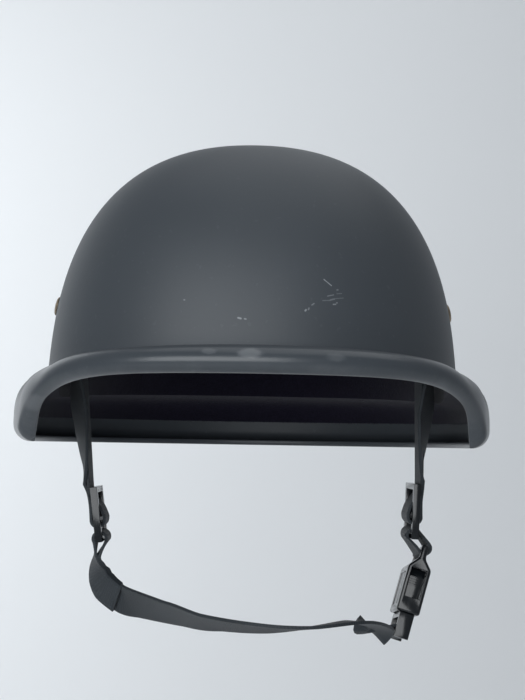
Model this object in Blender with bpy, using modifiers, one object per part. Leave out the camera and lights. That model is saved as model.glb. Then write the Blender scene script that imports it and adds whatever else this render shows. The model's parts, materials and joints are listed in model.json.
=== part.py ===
"""A military helmet: a moulded shell with a hooded brim, a padded cloth lining, four rivets, a side strap
with a three-bar slider on each side, and a chin strap that closes with a side-release buckle.

Units are metres and +Z is up. The helmet faces -Y. Heights are written above the rim plane, where the skirt
ends, and the whole helmet hangs from an empty that puts the world's origin at the head seat, the point under
the lining's crown where it sits on a head. "right" is +X and "left" is -X, as seen from in front.
"""

import bmesh
import bpy
from math import cos, hypot, pi, radians, sin
from mathutils import Matrix, Vector
from mathutils.geometry import interpolate_bezier

MM = 0.001

# Shell, outside sizes
DOME_HALF_WIDTH = 105.5 * MM
DOME_FRONT = 124.0 * MM
DOME_REAR = 124.0 * MM
CROWN_HEIGHT = 153.5 * MM
CREASE_FRONT_HEIGHT = 41.7 * MM
CREASE_SIDE_HEIGHT = 28.9 * MM
CREASE_REAR_HEIGHT = 36.0 * MM
PLAN_POWER = 2.15
DOME_POWER = 2.4
DOME_LEAN = 0.07
SHELL_WALL = 3.4 * MM

# Brim: how far it stands out from the dome, and the height of its lip
BRIM_FRONT_REACH = 23.0 * MM
BRIM_SIDE_REACH = 15.3 * MM
BRIM_REAR_REACH = 22.0 * MM
BRIM_SWEEP = 1.86
VISOR_LIP_HEIGHT = 28.9 * MM
HOOD_BREAK = radians(18.0)
ROLL_SHAPE = 1.7
FLAT_SHARE = 0.28
CREASE_DIP = 0.12
HOOD_FULLNESS = 3.4
CURL_FRONT = 5.4 * MM
CURL_SIDE = 8.7 * MM
CURL_START = radians(46.0)
SWEEP_START = radians(6.5)
SWEEP_END = radians(58.6)
SWEEP_HOLD = 4.1
SWEEP_EASE = 0.96

# Lining
PAD_THICKNESS = 5.0 * MM
HEM_THICKNESS = 1.6 * MM
HEM_FRONT_SHARE = 0.55
HEM_SIDE_SHARE = 0.93
FIT = 0.35 * MM

# Rivets
RIVET_HEIGHT = 69.0 * MM
RIVET_FRONT_AZIMUTH = radians(77.0)
RIVET_REAR_AZIMUTH = radians(102.0)
RIVET_HEAD_RADIUS = 4.8 * MM
RIVET_HEAD_RISE = 1.7 * MM
RIVET_SHANK_RADIUS = 1.9 * MM
RIVET_TAIL_RADIUS = 4.2 * MM
RIVET_TAIL_THICKNESS = 0.9 * MM
RIVET_HOLE_RADIUS = RIVET_SHANK_RADIUS + FIT

# Webbing
WEB_WIDTH = 19.0 * MM
WEB_THICKNESS = 1.5 * MM
TAB_LENGTH = 11.0 * MM
TAB_STANDOFF = 1.6 * MM
STRAP_RISE = 3.5 * MM
STRAP_DROP = 100.0 * MM

# The front run of a side strap from its tab (share 0) to the slider (share 1), and the sideways part of its
# width direction
STRAP_TWIST = (
    dict(share=0.3, twist=0.38),
    dict(share=0.48, twist=0.5),
    dict(share=0.72, twist=0.34),
    dict(share=0.88, twist=0.2),
)

# Three-bar slider
SLIDER_WIDTH = 29.0 * MM
SLIDER_HEIGHT = 28.5 * MM
SLIDER_THICKNESS = 3.6 * MM
SLIDER_RAIL = 3.6 * MM
SLIDER_BAR = 3.0 * MM
SLIDER_LOWER_SLOT = 6.6 * MM

# Side-release buckle
BUCKLE_WIDTH = 27.0 * MM
BUCKLE_LENGTH = 36.0 * MM
BUCKLE_THICKNESS = 12.0 * MM
BUCKLE_WALL = 1.8 * MM
BUCKLE_BAR = 2.4 * MM
BUCKLE_SLOT = 4.8 * MM
BUCKLE_NECK_THICKNESS = 3.4 * MM
BUCKLE_SHOULDER = 5.0 * MM
WINDOW_LENGTH = 15.5 * MM
WINDOW_START = 0.5 * MM
CLIP_BASE_LENGTH = 13.0 * MM
CLIP_BAR_RISE = 2.8 * MM
CLIP_BASE_WIDTH = 25.0 * MM
CLIP_ARM_THICKNESS = 2.6 * MM
CLIP_TONGUE_WIDTH = 6.0 * MM
CLIP_ARM_SPRING = 1.2 * MM
BUCKLE_PLAY = 0.5 * MM
BUCKLE_CORNER = 1.2 * MM
MOULDED_EDGE = 0.5 * MM

# Where webbing meets and leaves a bar, in degrees from the bar's outer side towards its upper one
FOLD_START = 200.0
FOLD_END = -25.0
CLIP_ENTRY = 120.0
CLIP_EXIT = -60.0
LOOP_START = 40.0
WRAP_STEPS = 8

# Where the hardware hangs: the place of each end as shares of DOME_HALF_WIDTH, DOME_FRONT and STRAP_DROP.
# bow is how far the outer layer of webbing stands off above a slider, in layers
HANGING = {
    "left_slider": dict(top=(-0.7706, 0.0484, -0.232), bottom=(-0.7355, 0.0484, -0.516), bow=1.25),
    "right_slider": dict(top=(0.8284, 0.0484, -0.19), bottom=(0.8171, 0.0484, -0.475), bow=0.5),
    "buckle": dict(top=(0.8701, 0.0242, -0.526), bottom=(0.7355, -0.0484, -0.98)),
}

AZIMUTH_SPANS = (
    dict(start=0.0, end=SWEEP_START, steps=1),
    dict(start=SWEEP_START, end=(SWEEP_START + SWEEP_END) / 2, steps=4),
    dict(start=(SWEEP_START + SWEEP_END) / 2, end=SWEEP_END, steps=8),
    dict(start=SWEEP_END, end=pi / 2, steps=6),
    dict(start=pi / 2, end=pi, steps=9),
)
DOME_ROWS = 9
HEM_ROWS = 4
CURL_ROWS = 3
SMOOTH_ANGLE = radians(35.0)

HEAD_SEAT_HEIGHT = CROWN_HEIGHT - SHELL_WALL - FIT - PAD_THICKNESS


def smooth_step(value, start, end):
    share = min(max((value - start) / (end - start), 0.0), 1.0)
    return share * share * (3.0 - 2.0 * share)


def azimuths():
    """Angles from the front round by the right side, closest together where the lip sweeps down."""
    half = []
    for span in AZIMUTH_SPANS:
        step = (span["end"] - span["start"]) / span["steps"]
        half.extend(span["start"] + step * i for i in range(span["steps"]))
    return half + [pi] + [2 * pi - a for a in reversed(half[1:])]


def plan_radius(azimuth):
    """Radius of the dome's plan at the crease."""
    length = DOME_FRONT if cos(azimuth) > 0 else DOME_REAR
    across = abs(sin(azimuth) / DOME_HALF_WIDTH) ** PLAN_POWER
    along = abs(cos(azimuth) / length) ** PLAN_POWER
    return (across + along) ** (-1.0 / PLAN_POWER)


def brim_reach(azimuth):
    end = BRIM_FRONT_REACH if cos(azimuth) > 0 else BRIM_REAR_REACH
    return BRIM_SIDE_REACH + (end - BRIM_SIDE_REACH) * abs(cos(azimuth)) ** BRIM_SWEEP


def lip_height(azimuth):
    """The lip is high over the face, sweeps down at the temples and is level round the sides and back."""
    from_front = min(azimuth, 2 * pi - azimuth)
    share = min(max((from_front - SWEEP_START) / (SWEEP_END - SWEEP_START), 0.0), 1.0)
    return VISOR_LIP_HEIGHT * (1.0 - share ** SWEEP_HOLD) ** SWEEP_EASE


def crease_height(azimuth):
    """The crease climbs evenly from a rounded dip at each side to the front and the rear."""
    end = CREASE_FRONT_HEIGHT if cos(azimuth) > 0 else CREASE_REAR_HEIGHT
    climb = (hypot(cos(azimuth), CREASE_DIP) - CREASE_DIP) / (hypot(1.0, CREASE_DIP) - CREASE_DIP)
    return CREASE_SIDE_HEIGHT + (end - CREASE_SIDE_HEIGHT) * climb


def around(azimuth, radius, height):
    return Vector((radius * sin(azimuth), -radius * cos(azimuth), height))


def dome_point(azimuth, slope):
    """slope runs from 0 at the crown to a right angle at the crease."""
    rise = cos(slope) ** (2 / DOME_POWER)
    share = sin(slope) ** (2 / DOME_POWER) * (1.0 - DOME_LEAN * rise * (1.0 - rise))
    crease = crease_height(azimuth)
    height = crease + (CROWN_HEIGHT - crease) * rise
    return around(azimuth, plan_radius(azimuth) * share, height)


def curl_radius(azimuth):
    """The roll under the lip is tight over the face and wide round the sides and back."""
    from_front = min(azimuth, 2 * pi - azimuth)
    return CURL_FRONT + (CURL_SIDE - CURL_FRONT) * smooth_step(from_front, CURL_START, SWEEP_END)


def hood_point(azimuth, share):
    """share runs from 0 at the crease to 1 where the brim is widest: a flat, then a full quarter curve."""
    from_front = min(azimuth, 2 * pi - azimuth)
    power = 2 / (2 + (HOOD_FULLNESS - 2) * smooth_step(from_front, CURL_START, SWEEP_END))
    reach = brim_reach(azimuth)
    widest = lip_height(azimuth) + curl_radius(azimuth)
    drop = crease_height(azimuth) - widest
    arc = min(reach, ROLL_SHAPE * drop)
    start = HOOD_BREAK * smooth_step(ROLL_SHAPE * drop / reach, 1.0, 1.8)
    turn = start + (pi / 2 - start) * share
    near = sin(start) ** power
    out = (reach - arc) * min(share / FLAT_SHARE, 1.0) + arc * (sin(turn) ** power - near) / (1.0 - near)
    fall = max(cos(turn), 0.0) ** power / cos(start) ** power
    return around(azimuth, plan_radius(azimuth) + out, widest + drop * fall)


def curl_point(azimuth, turn):
    """The lip's roll, from the widest line down and inwards."""
    radius = curl_radius(azimuth)
    out = plan_radius(azimuth) + brim_reach(azimuth) - radius * (1.0 - cos(turn))
    return around(azimuth, out, lip_height(azimuth) + radius * (1.0 - sin(turn)))


def hem_share(azimuth):
    """Where the lining ends on the hood: well short of the lip over the face, close to it elsewhere."""
    from_front = min(azimuth, 2 * pi - azimuth)
    along_side = smooth_step(from_front, CURL_START, SWEEP_END)
    return HEM_FRONT_SHARE + (HEM_SIDE_SHARE - HEM_FRONT_SHARE) * along_side


def section(azimuth):
    """The outer surface's points at one azimuth, from just under the crown to the end of the roll."""
    quarter = pi / 2
    dome = [dome_point(azimuth, quarter * i / DOME_ROWS) for i in range(1, DOME_ROWS + 1)]
    hem = hem_share(azimuth)
    hood = [hood_point(azimuth, hem * i / HEM_ROWS) for i in range(1, HEM_ROWS + 1)]
    hood.append(hood_point(azimuth, 1.0))
    curl = [curl_point(azimuth, quarter * i / CURL_ROWS) for i in range(1, CURL_ROWS + 1)]
    return dome + hood + curl


def outer_surface():
    """A bmesh of the outer surface and its points: the crown, then each azimuth's, top to bottom."""
    mesh = bmesh.new()
    crown = mesh.verts.new((0.0, 0.0, CROWN_HEIGHT))
    sections = [[mesh.verts.new(p) for p in section(a)] for a in azimuths()]
    for near, far in zip(sections, sections[1:] + sections[:1]):
        mesh.faces.new((crown, near[0], far[0]))
        for row in range(len(near) - 1):
            mesh.faces.new((near[row], near[row + 1], far[row + 1], far[row]))
    bmesh.ops.triangulate(mesh, faces=mesh.faces, quad_method="SHORT_EDGE")
    mesh.normal_update()
    return mesh, crown, sections


def new_object(name, mesh_or_bmesh, material, where="helmet"):
    if isinstance(mesh_or_bmesh, bmesh.types.BMesh):
        mesh = bpy.data.meshes.new(name)
        mesh_or_bmesh.to_mesh(mesh)
        mesh_or_bmesh.free()
    else:
        mesh = mesh_or_bmesh
    obj = bpy.data.objects.new(name, mesh)
    bpy.data.collections[where].objects.link(obj)
    if material:
        mesh.materials.append(material)
        mesh.shade_smooth()
        mesh.set_sharp_from_angle(angle=SMOOTH_ANGLE)
        obj.parent = bpy.data.objects["head_seat_to_rim"]
    return obj


def make_material(name, colour, roughness, metallic=0.0):
    material = bpy.data.materials.new(name)
    material.use_nodes = True
    shader = material.node_tree.nodes["Principled BSDF"]
    shader.inputs["Base Color"].default_value = (*colour, 1.0)
    shader.inputs["Roughness"].default_value = roughness
    shader.inputs["Metallic"].default_value = metallic
    return material


def solidify(obj, thickness, offset):
    wall = obj.modifiers.new("wall", "SOLIDIFY")
    wall.thickness = thickness
    wall.offset = offset
    wall.use_even_offset = True
    return wall


def bevel(obj, width, segments=2):
    rounding = obj.modifiers.new("rounded_edges", "BEVEL")
    rounding.width = width
    rounding.segments = segments
    rounding.limit_method = "ANGLE"
    rounding.angle_limit = radians(40.0)
    return rounding


def cut(obj, cutter):
    removal = obj.modifiers.new("cut_" + cutter.name, "BOOLEAN")
    removal.operation = "DIFFERENCE"
    removal.object = cutter


def outline_mesh(name, outline, thickness):
    """A flat outline in the YZ plane, as thick as given on both sides of X together."""
    curve = bpy.data.curves.new(name, "CURVE")
    curve.dimensions = "2D"
    curve.fill_mode = "BOTH"
    curve.extrude = thickness / 2
    spline = curve.splines.new("POLY")
    spline.points.add(len(outline) - 1)
    spline.use_cyclic_u = True
    for point, (y, z) in zip(spline.points, outline):
        point.co = (y, z, 0.0, 1.0)
    guide = bpy.data.objects.new(name, curve)
    bpy.data.collections["helmet"].objects.link(guide)
    graph = bpy.context.evaluated_depsgraph_get()
    data = bpy.data.meshes.new_from_object(guide.evaluated_get(graph))
    bpy.data.objects.remove(guide, do_unlink=True)
    bpy.data.curves.remove(curve)
    mesh = bmesh.new()
    mesh.from_mesh(data)
    bmesh.ops.remove_doubles(mesh, verts=mesh.verts, dist=0.01 * MM)
    mesh.transform(Matrix(((0, 0, 1, 0), (1, 0, 0, 0), (0, 1, 0, 0), (0, 0, 0, 1))))
    mesh.to_mesh(data)
    mesh.free()
    return data


def box_mesh(name, low, high):
    """A box between two corners."""
    mesh = bmesh.new()
    bmesh.ops.create_cube(mesh, size=1.0)
    size = Vector(high) - Vector(low)
    bmesh.ops.scale(mesh, vec=size, verts=mesh.verts)
    bmesh.ops.translate(mesh, vec=(Vector(high) + Vector(low)) / 2, verts=mesh.verts)
    data = bpy.data.meshes.new(name)
    mesh.to_mesh(data)
    mesh.free()
    return data


def as_cutter(name, mesh, matrix):
    cutter = new_object(name, mesh, None, "helmet_cutters")
    cutter.parent = bpy.data.objects["head_seat_to_rim"]
    cutter.matrix_local = matrix
    cutter.hide_render = True
    cutter.display_type = "WIRE"
    return cutter


def frame_from(origin, thickness_axis, up):
    """A placing matrix: local X is the thickness, local Y the width, local Z up along the strap."""
    z = up.normalized()
    x = (thickness_axis - z * thickness_axis.dot(z)).normalized()
    y = z.cross(x)
    return Matrix.Translation(origin) @ Matrix((x, y, z)).transposed().to_4x4()


def hung_point(x, y, z):
    """A point under the rim, from its shares of the dome's half width and front and of the straps' drop."""
    return Vector((x * DOME_HALF_WIDTH, y * DOME_FRONT, z * STRAP_DROP))


def hanging_frame(name):
    """The frame of a slider or the buckle, with its origin at the middle of its top end."""
    top = hung_point(*HANGING[name]["top"])
    bottom = hung_point(*HANGING[name]["bottom"])
    return frame_from(top, Vector((1.0, 0.0, 0.0)), top - bottom)


def rivet_frame(side, azimuth):
    """Origin on the shell's outer face, local X straight out of it."""
    low, high = 0.0, pi / 2
    while high - low > 1e-6:
        middle = (low + high) / 2
        if dome_point(azimuth, middle).z > RIVET_HEIGHT:
            low = middle
        else:
            high = middle
    step = 0.01
    point = dome_point(azimuth, low)
    down = dome_point(azimuth, low + step) - dome_point(azimuth, low - step)
    along = dome_point(azimuth + step, low) - dome_point(azimuth - step, low)
    normal = down.cross(along).normalized()
    if normal.dot(point) < 0:
        normal = -normal
    mirror = Vector((side, 1.0, 1.0))
    outward = normal * mirror
    return frame_from(point * mirror, outward, Vector((0.0, 0.0, 1.0)) - outward * outward.z)


def offset_points(mesh, depth):
    """Where a wall of that depth ends under each point of an open surface."""
    mesh.verts.index_update()
    data = bpy.data.meshes.new("wall_guide")
    mesh.to_mesh(data)
    guide = bpy.data.objects.new("wall_guide", data)
    bpy.data.collections["helmet"].objects.link(guide)
    solidify(guide, depth, -1.0).use_rim = False
    graph = bpy.context.evaluated_depsgraph_get()
    thick = bpy.data.meshes.new_from_object(guide.evaluated_get(graph))
    inner = [v.co.copy() for v in thick.vertices[len(data.vertices):]]
    bpy.data.objects.remove(guide, do_unlink=True)
    bpy.data.meshes.remove(data)
    bpy.data.meshes.remove(thick)
    return inner


def make_shell(material, holes):
    mesh = outer_surface()[0]
    shell = new_object("shell", mesh, material)
    solidify(shell, SHELL_WALL, -1.0)
    for hole in holes:
        cut(shell, hole)
    return shell


def make_lining(material, holes):
    """The outer surface moved in by the shell's wall and the fit, then thickened; thin at its hem."""
    row_count = DOME_ROWS + HEM_ROWS
    mesh, crown, sections = outer_surface()
    points = [crown] + [v for column in sections for v in column]
    wall = SHELL_WALL + FIT
    inward = [(place - v.co) / wall for v, place in zip(points, offset_points(mesh, wall))]
    pad = [PAD_THICKNESS]
    for column in sections:
        for row in range(len(column)):
            share = smooth_step(row, DOME_ROWS * 2 / 3, DOME_ROWS + HEM_ROWS / 2)
            pad.append(PAD_THICKNESS + (HEM_THICKNESS - PAD_THICKNESS) * share)
    faces = [[v.index for v in face.verts] for face in mesh.faces]
    inner_face = [mesh.verts.new(v.co + step * (wall + deep)) for v, step, deep in zip(points, inward, pad)]
    for vert, step in zip(points, inward):
        vert.co = vert.co + step * wall
    for corners in faces:
        mesh.faces.new([inner_face[i] for i in reversed(corners)])
    columns = [points[1 + i * len(sections[0]):1 + (i + 1) * len(sections[0])] for i in range(len(sections))]
    inner_columns = [[inner_face[v.index] for v in column] for column in columns]
    for i, (column, inner_column) in enumerate(zip(columns, inner_columns)):
        after = columns[(i + 1) % len(columns)][row_count - 1]
        inner_after = inner_columns[(i + 1) % len(columns)][row_count - 1]
        mesh.faces.new((column[row_count - 1], inner_column[row_count - 1], inner_after, after))
    roll = [v for column in columns + inner_columns for v in column[row_count:]]
    bmesh.ops.delete(mesh, geom=roll, context="VERTS")
    lining = new_object("lining", mesh, material)
    for hole in holes:
        cut(lining, hole)
    return lining


def through_depth():
    """From the shell's outer face to the strap tab's inner face."""
    return SHELL_WALL + FIT + PAD_THICKNESS + TAB_STANDOFF + WEB_THICKNESS


def make_rivet(name, frame, material):
    """Turned head, shank and clenched tail, on local X."""
    tail = -(through_depth() + FIT)
    profile = (
        dict(x=RIVET_HEAD_RISE, radius=0.0),
        dict(x=RIVET_HEAD_RISE * 0.93, radius=RIVET_HEAD_RADIUS * 0.42),
        dict(x=RIVET_HEAD_RISE * 0.66, radius=RIVET_HEAD_RADIUS * 0.78),
        dict(x=FIT + RIVET_HEAD_RISE * 0.2, radius=RIVET_HEAD_RADIUS),
        dict(x=FIT, radius=RIVET_HEAD_RADIUS * 0.97),
        dict(x=FIT, radius=RIVET_SHANK_RADIUS),
        dict(x=tail, radius=RIVET_SHANK_RADIUS),
        dict(x=tail, radius=RIVET_TAIL_RADIUS),
        dict(x=tail - RIVET_TAIL_THICKNESS, radius=RIVET_TAIL_RADIUS * 0.9),
        dict(x=tail - RIVET_TAIL_THICKNESS, radius=0.0),
    )
    mesh = bmesh.new()
    rings = [mesh.verts.new((row["radius"], 0.0, row["x"])) for row in profile]
    for a, b in zip(rings, rings[1:]):
        mesh.edges.new((a, b))
    rivet = new_object(name, mesh, material)
    turn = rivet.modifiers.new("turned", "SCREW")
    turn.steps = 16
    turn.render_steps = 16
    turn.use_merge_vertices = True
    turn.merge_threshold = 0.01 * MM
    turn.use_smooth_shade = True
    rivet.matrix_local = frame @ Matrix.Rotation(pi / 2, 4, "Y")
    return rivet


def rivet_hole(name, frame):
    """A cutter through shell, lining and strap tab."""
    mesh = bmesh.new()
    depth = through_depth() * 3
    radius = RIVET_HOLE_RADIUS
    bmesh.ops.create_cone(mesh, cap_ends=True, segments=12, radius1=radius, radius2=radius, depth=depth)
    data = bpy.data.meshes.new(name)
    mesh.to_mesh(data)
    mesh.free()
    return as_cutter(name, data, frame @ Matrix.Rotation(pi / 2, 4, "Y"))


def smooth_route(rows, steps, closed=False):
    """Rows of (centre, width direction), resampled on a smooth curve through them."""
    count = len(rows)
    route = []
    spans = range(count if closed else count - 1)
    for i in spans:
        def row(k):
            return rows[k % count] if closed else rows[min(max(k, 0), count - 1)]
        here, there = row(i)[0], row(i + 1)[0]
        leave = (there - row(i - 1)[0]) / 6
        arrive = (row(i + 2)[0] - here) / 6
        points = interpolate_bezier(here, here + leave, there - arrive, there, steps + 1)
        for k, point in enumerate(points[:-1]):
            route.append((Vector(point), row(i)[1].lerp(row(i + 1)[1], k / steps)))
    if not closed:
        route.append(rows[-1])
    return route


def make_webbing(name, route, material, closed=False):
    """A flat strap along a route of (centre, width direction) rows: a ribbon with its thickness added."""
    mesh = bmesh.new()
    pairs = []
    count = len(route)
    for i, (centre, width) in enumerate(route):
        before = route[i - 1][0] if closed or i else centre
        after = route[(i + 1) % count][0] if closed or i < count - 1 else centre
        along = (after - before).normalized()
        across = (width - along * width.dot(along)).normalized() * WEB_WIDTH / 2
        pairs.append((mesh.verts.new(centre - across), mesh.verts.new(centre + across)))
    ends = pairs[1:] + pairs[:1] if closed else pairs[1:]
    for (a, b), (c, d) in zip(pairs, ends):
        mesh.faces.new((a, b, d, c))
    strap = new_object(name, mesh, material)
    solidify(strap, WEB_THICKNESS, 0.0)
    return strap


def wrap_radius(thickness, height):
    """Radius of a strap's middle where it turns round a bar of that section, clear of the bar's corners."""
    return Vector((thickness, height)).length / 2 + FIT + WEB_THICKNESS / 2


def wrap(frame, centre, radius, start, end, steps):
    """Rows round a bar that lies along the frame's local Y. Angles are from local X towards local Z."""
    across = frame.to_3x3() @ Vector((0.0, 1.0, 0.0))
    rows = []
    for i in range(steps + 1):
        angle = radians(start + (end - start) * i / steps)
        point = Vector(centre) + Vector((cos(angle), 0.0, sin(angle))) * radius
        rows.append((frame @ point, across))
    return rows


def slider_bars():
    """Heights of the three bars' middles under the slider's top."""
    half = SLIDER_BAR / 2
    bottom = -SLIDER_HEIGHT + half
    middle = bottom + SLIDER_BAR + SLIDER_LOWER_SLOT
    return dict(top=-half, middle=middle, bottom=bottom)


def make_slider(name, material):
    """A moulded frame with a wide upper slot and a narrow lower slot."""
    frame = hanging_frame(name)
    half_width = SLIDER_WIDTH / 2
    half_thickness = SLIDER_THICKNESS / 2
    low = (-half_thickness, -half_width, -SLIDER_HEIGHT)
    slider = new_object(name, box_mesh(name, low, (half_thickness, half_width, 0.0)), material)
    slider.matrix_local = frame
    bars = slider_bars()
    inner = half_width - SLIDER_RAIL
    for slot, above, below in (("upper", "top", "middle"), ("lower", "middle", "bottom")):
        top = bars[above] - SLIDER_BAR / 2
        bottom = bars[below] + SLIDER_BAR / 2
        hole = box_mesh(slot, (-SLIDER_THICKNESS, -inner, bottom), (SLIDER_THICKNESS, inner, top))
        cut(slider, as_cutter(name + "_" + slot + "_slot", hole, frame))
    bevel(slider, MOULDED_EDGE, 1)
    return slider


def tab_rows(frame, toward):
    """Rows of a strap's riveted end, flat against the lining and pointing at the next row."""
    back = -(through_depth() - WEB_THICKNESS / 2)
    centre = frame @ Vector((back, 0.0, 0.0))
    normal = frame.to_3x3() @ Vector((1.0, 0.0, 0.0))
    line = toward - centre
    line = (line - normal * line.dot(normal)).normalized()
    across = line.cross(normal)
    if across.y < 0:
        across = -across
    return [(centre + line * TAB_LENGTH * share, across) for share in (-0.75, 0.0, 0.75, 1.5)]


def side_strap_route(side, name, rivet_frames):
    """From the front rivet down outside the slider, round its middle bar, up inside it to the rear rivet."""
    frame = hanging_frame(name)
    bars = slider_bars()
    bar = (0.0, 0.0, bars["middle"])
    radius = wrap_radius(SLIDER_THICKNESS, SLIDER_BAR)
    turn = wrap(frame, bar, radius, 0.0 if side > 0 else 180.0, -180.0 if side > 0 else 360.0, WRAP_STEPS)
    across = turn[0][1]
    near_face = SLIDER_THICKNESS / 2 + FIT + WEB_THICKNESS / 2
    layer = WEB_THICKNESS + FIT
    slot_top = bars["top"] - SLIDER_BAR / 2
    slot = slot_top - bars["middle"] - SLIDER_BAR / 2

    def threaded(table):
        return [(frame @ Vector((side * row["x"], 0.0, row["z"])), across) for row in table]

    outer = threaded((
        dict(x=near_face + layer * HANGING[name]["bow"], z=STRAP_RISE),
        dict(x=near_face + layer * 0.35, z=slot_top),
        dict(x=near_face + layer * 0.1, z=slot_top - slot * 0.5),
    ))
    inner = threaded((
        dict(x=-radius, z=bars["middle"] + SLIDER_BAR * 0.6),
        dict(x=-radius * 0.45, z=slot_top - slot * 0.55),
        dict(x=near_face * 0.75, z=slot_top - slot * 0.16),
        dict(x=near_face, z=slot_top + SLIDER_BAR * 0.3),
        dict(x=near_face, z=STRAP_RISE),
    ))
    front_tab = tab_rows(rivet_frames["front"], outer[0][0])
    rear_tab = tab_rows(rivet_frames["rear"], inner[-1][0])
    front = []
    rear = []
    for row in STRAP_TWIST:
        share, twist = row["share"], row["twist"]
        turned = Vector((side * twist, (1.0 - twist ** 2) ** 0.5, 0.0))
        front.append((front_tab[-1][0].lerp(outer[0][0], share), turned))
        rear.append((rear_tab[-1][0].lerp(inner[-1][0], share), across.lerp(rear_tab[-1][1], 1.0 - share)))
    upper = smooth_route(front_tab + front + outer + [turn[0]], 3)
    lower = smooth_route([turn[-1]] + inner + rear[::-1] + rear_tab[::-1], 3)
    return upper[:-1] + turn + lower[1:]


def chin_strap_route():
    """From the stitched end, up outside the left slider's bottom bar, over it, and across to the clip."""
    slider = hanging_frame("left_slider")
    bar = (0.0, 0.0, slider_bars()["bottom"])
    radius = wrap_radius(SLIDER_THICKNESS, SLIDER_BAR)
    turn = wrap(slider, bar, radius, FOLD_START, FOLD_END, WRAP_STEPS)
    fold = (
        dict(x=-0.6427, y=-0.0081, z=-0.81, wx=-0.17, wy=0.55, wz=-0.82),
        dict(x=-0.7166, y=0.0177, z=-0.753, wx=-0.45, wy=0.62, wz=-0.64),
        dict(x=-0.7479, y=0.0323, z=-0.696, wx=-0.53, wy=0.77, wz=-0.36),
        dict(x=-0.7621, y=0.0403, z=-0.648, wx=-0.38, wy=0.91, wz=-0.15),
        dict(x=-0.764, y=0.0452, z=-0.594, wx=-0.15, wy=0.98, wz=-0.03),
    )
    run = (
        dict(x=-0.5564, y=-0.0565, z=-0.82, wx=-0.05, wy=0.74, wz=-0.67),
        dict(x=-0.3536, y=-0.2419, z=-0.839, wx=0.00, wy=0.87, wz=-0.50),
        dict(x=-0.1744, y=-0.4194, z=-0.846, wx=0.03, wy=0.93, wz=-0.37),
        dict(x=0.0531, y=-0.5565, z=-0.843, wx=0.0, wy=0.95, wz=-0.30),
        dict(x=0.2578, y=-0.5645, z=-0.838, wx=-0.05, wy=0.98, wz=-0.16),
        dict(x=0.4787, y=-0.4355, z=-0.834, wx=-0.45, wy=0.89, wz=-0.14),
        dict(x=0.6019, y=-0.2016, z=-0.895, wx=-0.55, wy=0.83, wz=-0.06),
    )

    def rows(table, shift=0.0):
        out = []
        for row in table:
            width = Vector((row["wx"], row["wy"], row["wz"])).normalized()
            out.append((hung_point(row["x"], row["y"], row["z"]), width))
        if shift:
            moved = []
            for i, (centre, width) in enumerate(out):
                along = out[min(i + 1, len(out) - 1)][0] - out[max(i - 1, 0)][0]
                moved.append((centre + along.normalized().cross(width) * shift, width))
            out = moved
        return out

    layer = WEB_THICKNESS + FIT
    outer = rows(fold)
    inner = rows(fold[::-1], layer)
    clip = clip_frame()
    post = (0.0, 0.0, -CLIP_BASE_LENGTH + CLIP_BAR_RISE + BUCKLE_BAR / 2)
    clip_radius = wrap_radius(BUCKLE_NECK_THICKNESS, BUCKLE_BAR)
    clip_turn = wrap(clip, post, clip_radius, CLIP_ENTRY, CLIP_EXIT, WRAP_STEPS)
    across = clip_turn[0][1]
    entry = Vector((cos(radians(CLIP_ENTRY)), 0.0, sin(radians(CLIP_ENTRY))))
    back = Vector((-entry.z, 0.0, entry.x))
    approach = [
        (clip @ (Vector(post) + entry * clip_radius + back * clip_radius * share), across)
        for share in (4.4, 3.0, 1.2)
    ]
    tail_end = entry * (clip_radius - layer) + back * clip_radius * 2.6
    tail = [(clip @ (Vector(post) + tail_end), across)]
    upper = smooth_route(outer + [turn[0]], 3)
    lower = smooth_route([turn[-1]] + inner + rows(run) + approach + [clip_turn[0]], 4)
    return upper[:-1] + turn + lower[1:-1] + clip_turn + tail


def clip_frame():
    """The buckle's frame moved down to the body's mouth."""
    return hanging_frame("buckle") @ Matrix.Translation((0.0, 0.0, -BUCKLE_LENGTH))


def make_buckle_body(material):
    """The socket half: a bar and slot on top, a mouth below, and a window in each narrow side."""
    frame = hanging_frame("buckle")
    half = Vector((BUCKLE_THICKNESS, BUCKLE_WIDTH, 0.0)) / 2
    neck = BUCKLE_NECK_THICKNESS / 2
    neck_end = -(BUCKLE_BAR + BUCKLE_SLOT)
    side = [(neck, 0.0), (neck, neck_end), (half.x, neck_end - BUCKLE_SHOULDER), (half.x, -BUCKLE_LENGTH)]
    profile = outline_mesh("buckle_body", side + [(-x, z) for x, z in reversed(side)], BUCKLE_WIDTH)
    profile.transform(Matrix.Rotation(pi / 2, 4, "Z"))
    body = new_object("buckle_body", profile, material)
    body.matrix_local = frame
    bevel(body, BUCKLE_CORNER, 2)
    mouth_top = neck_end - BUCKLE_SHOULDER
    inner = half - Vector((BUCKLE_WALL, BUCKLE_WALL, 0.0))
    slot_half = WEB_WIDTH / 2 + FIT * 2
    window_top = mouth_top - WINDOW_START
    window_end = window_top - WINDOW_LENGTH
    cuts = {
        "mouth": ((-inner.x, -inner.y, -BUCKLE_LENGTH * 1.1), (inner.x, inner.y, mouth_top)),
        "window": ((-inner.x, -half.y * 1.2, window_end), (inner.x, half.y * 1.2, window_top)),
        "strap_slot": ((-half.x * 1.2, -slot_half, neck_end), (half.x * 1.2, slot_half, -BUCKLE_BAR)),
    }
    for name, (low, high) in cuts.items():
        cut(body, as_cutter("buckle_" + name, box_mesh(name, low, high), frame))
    return body


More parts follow.
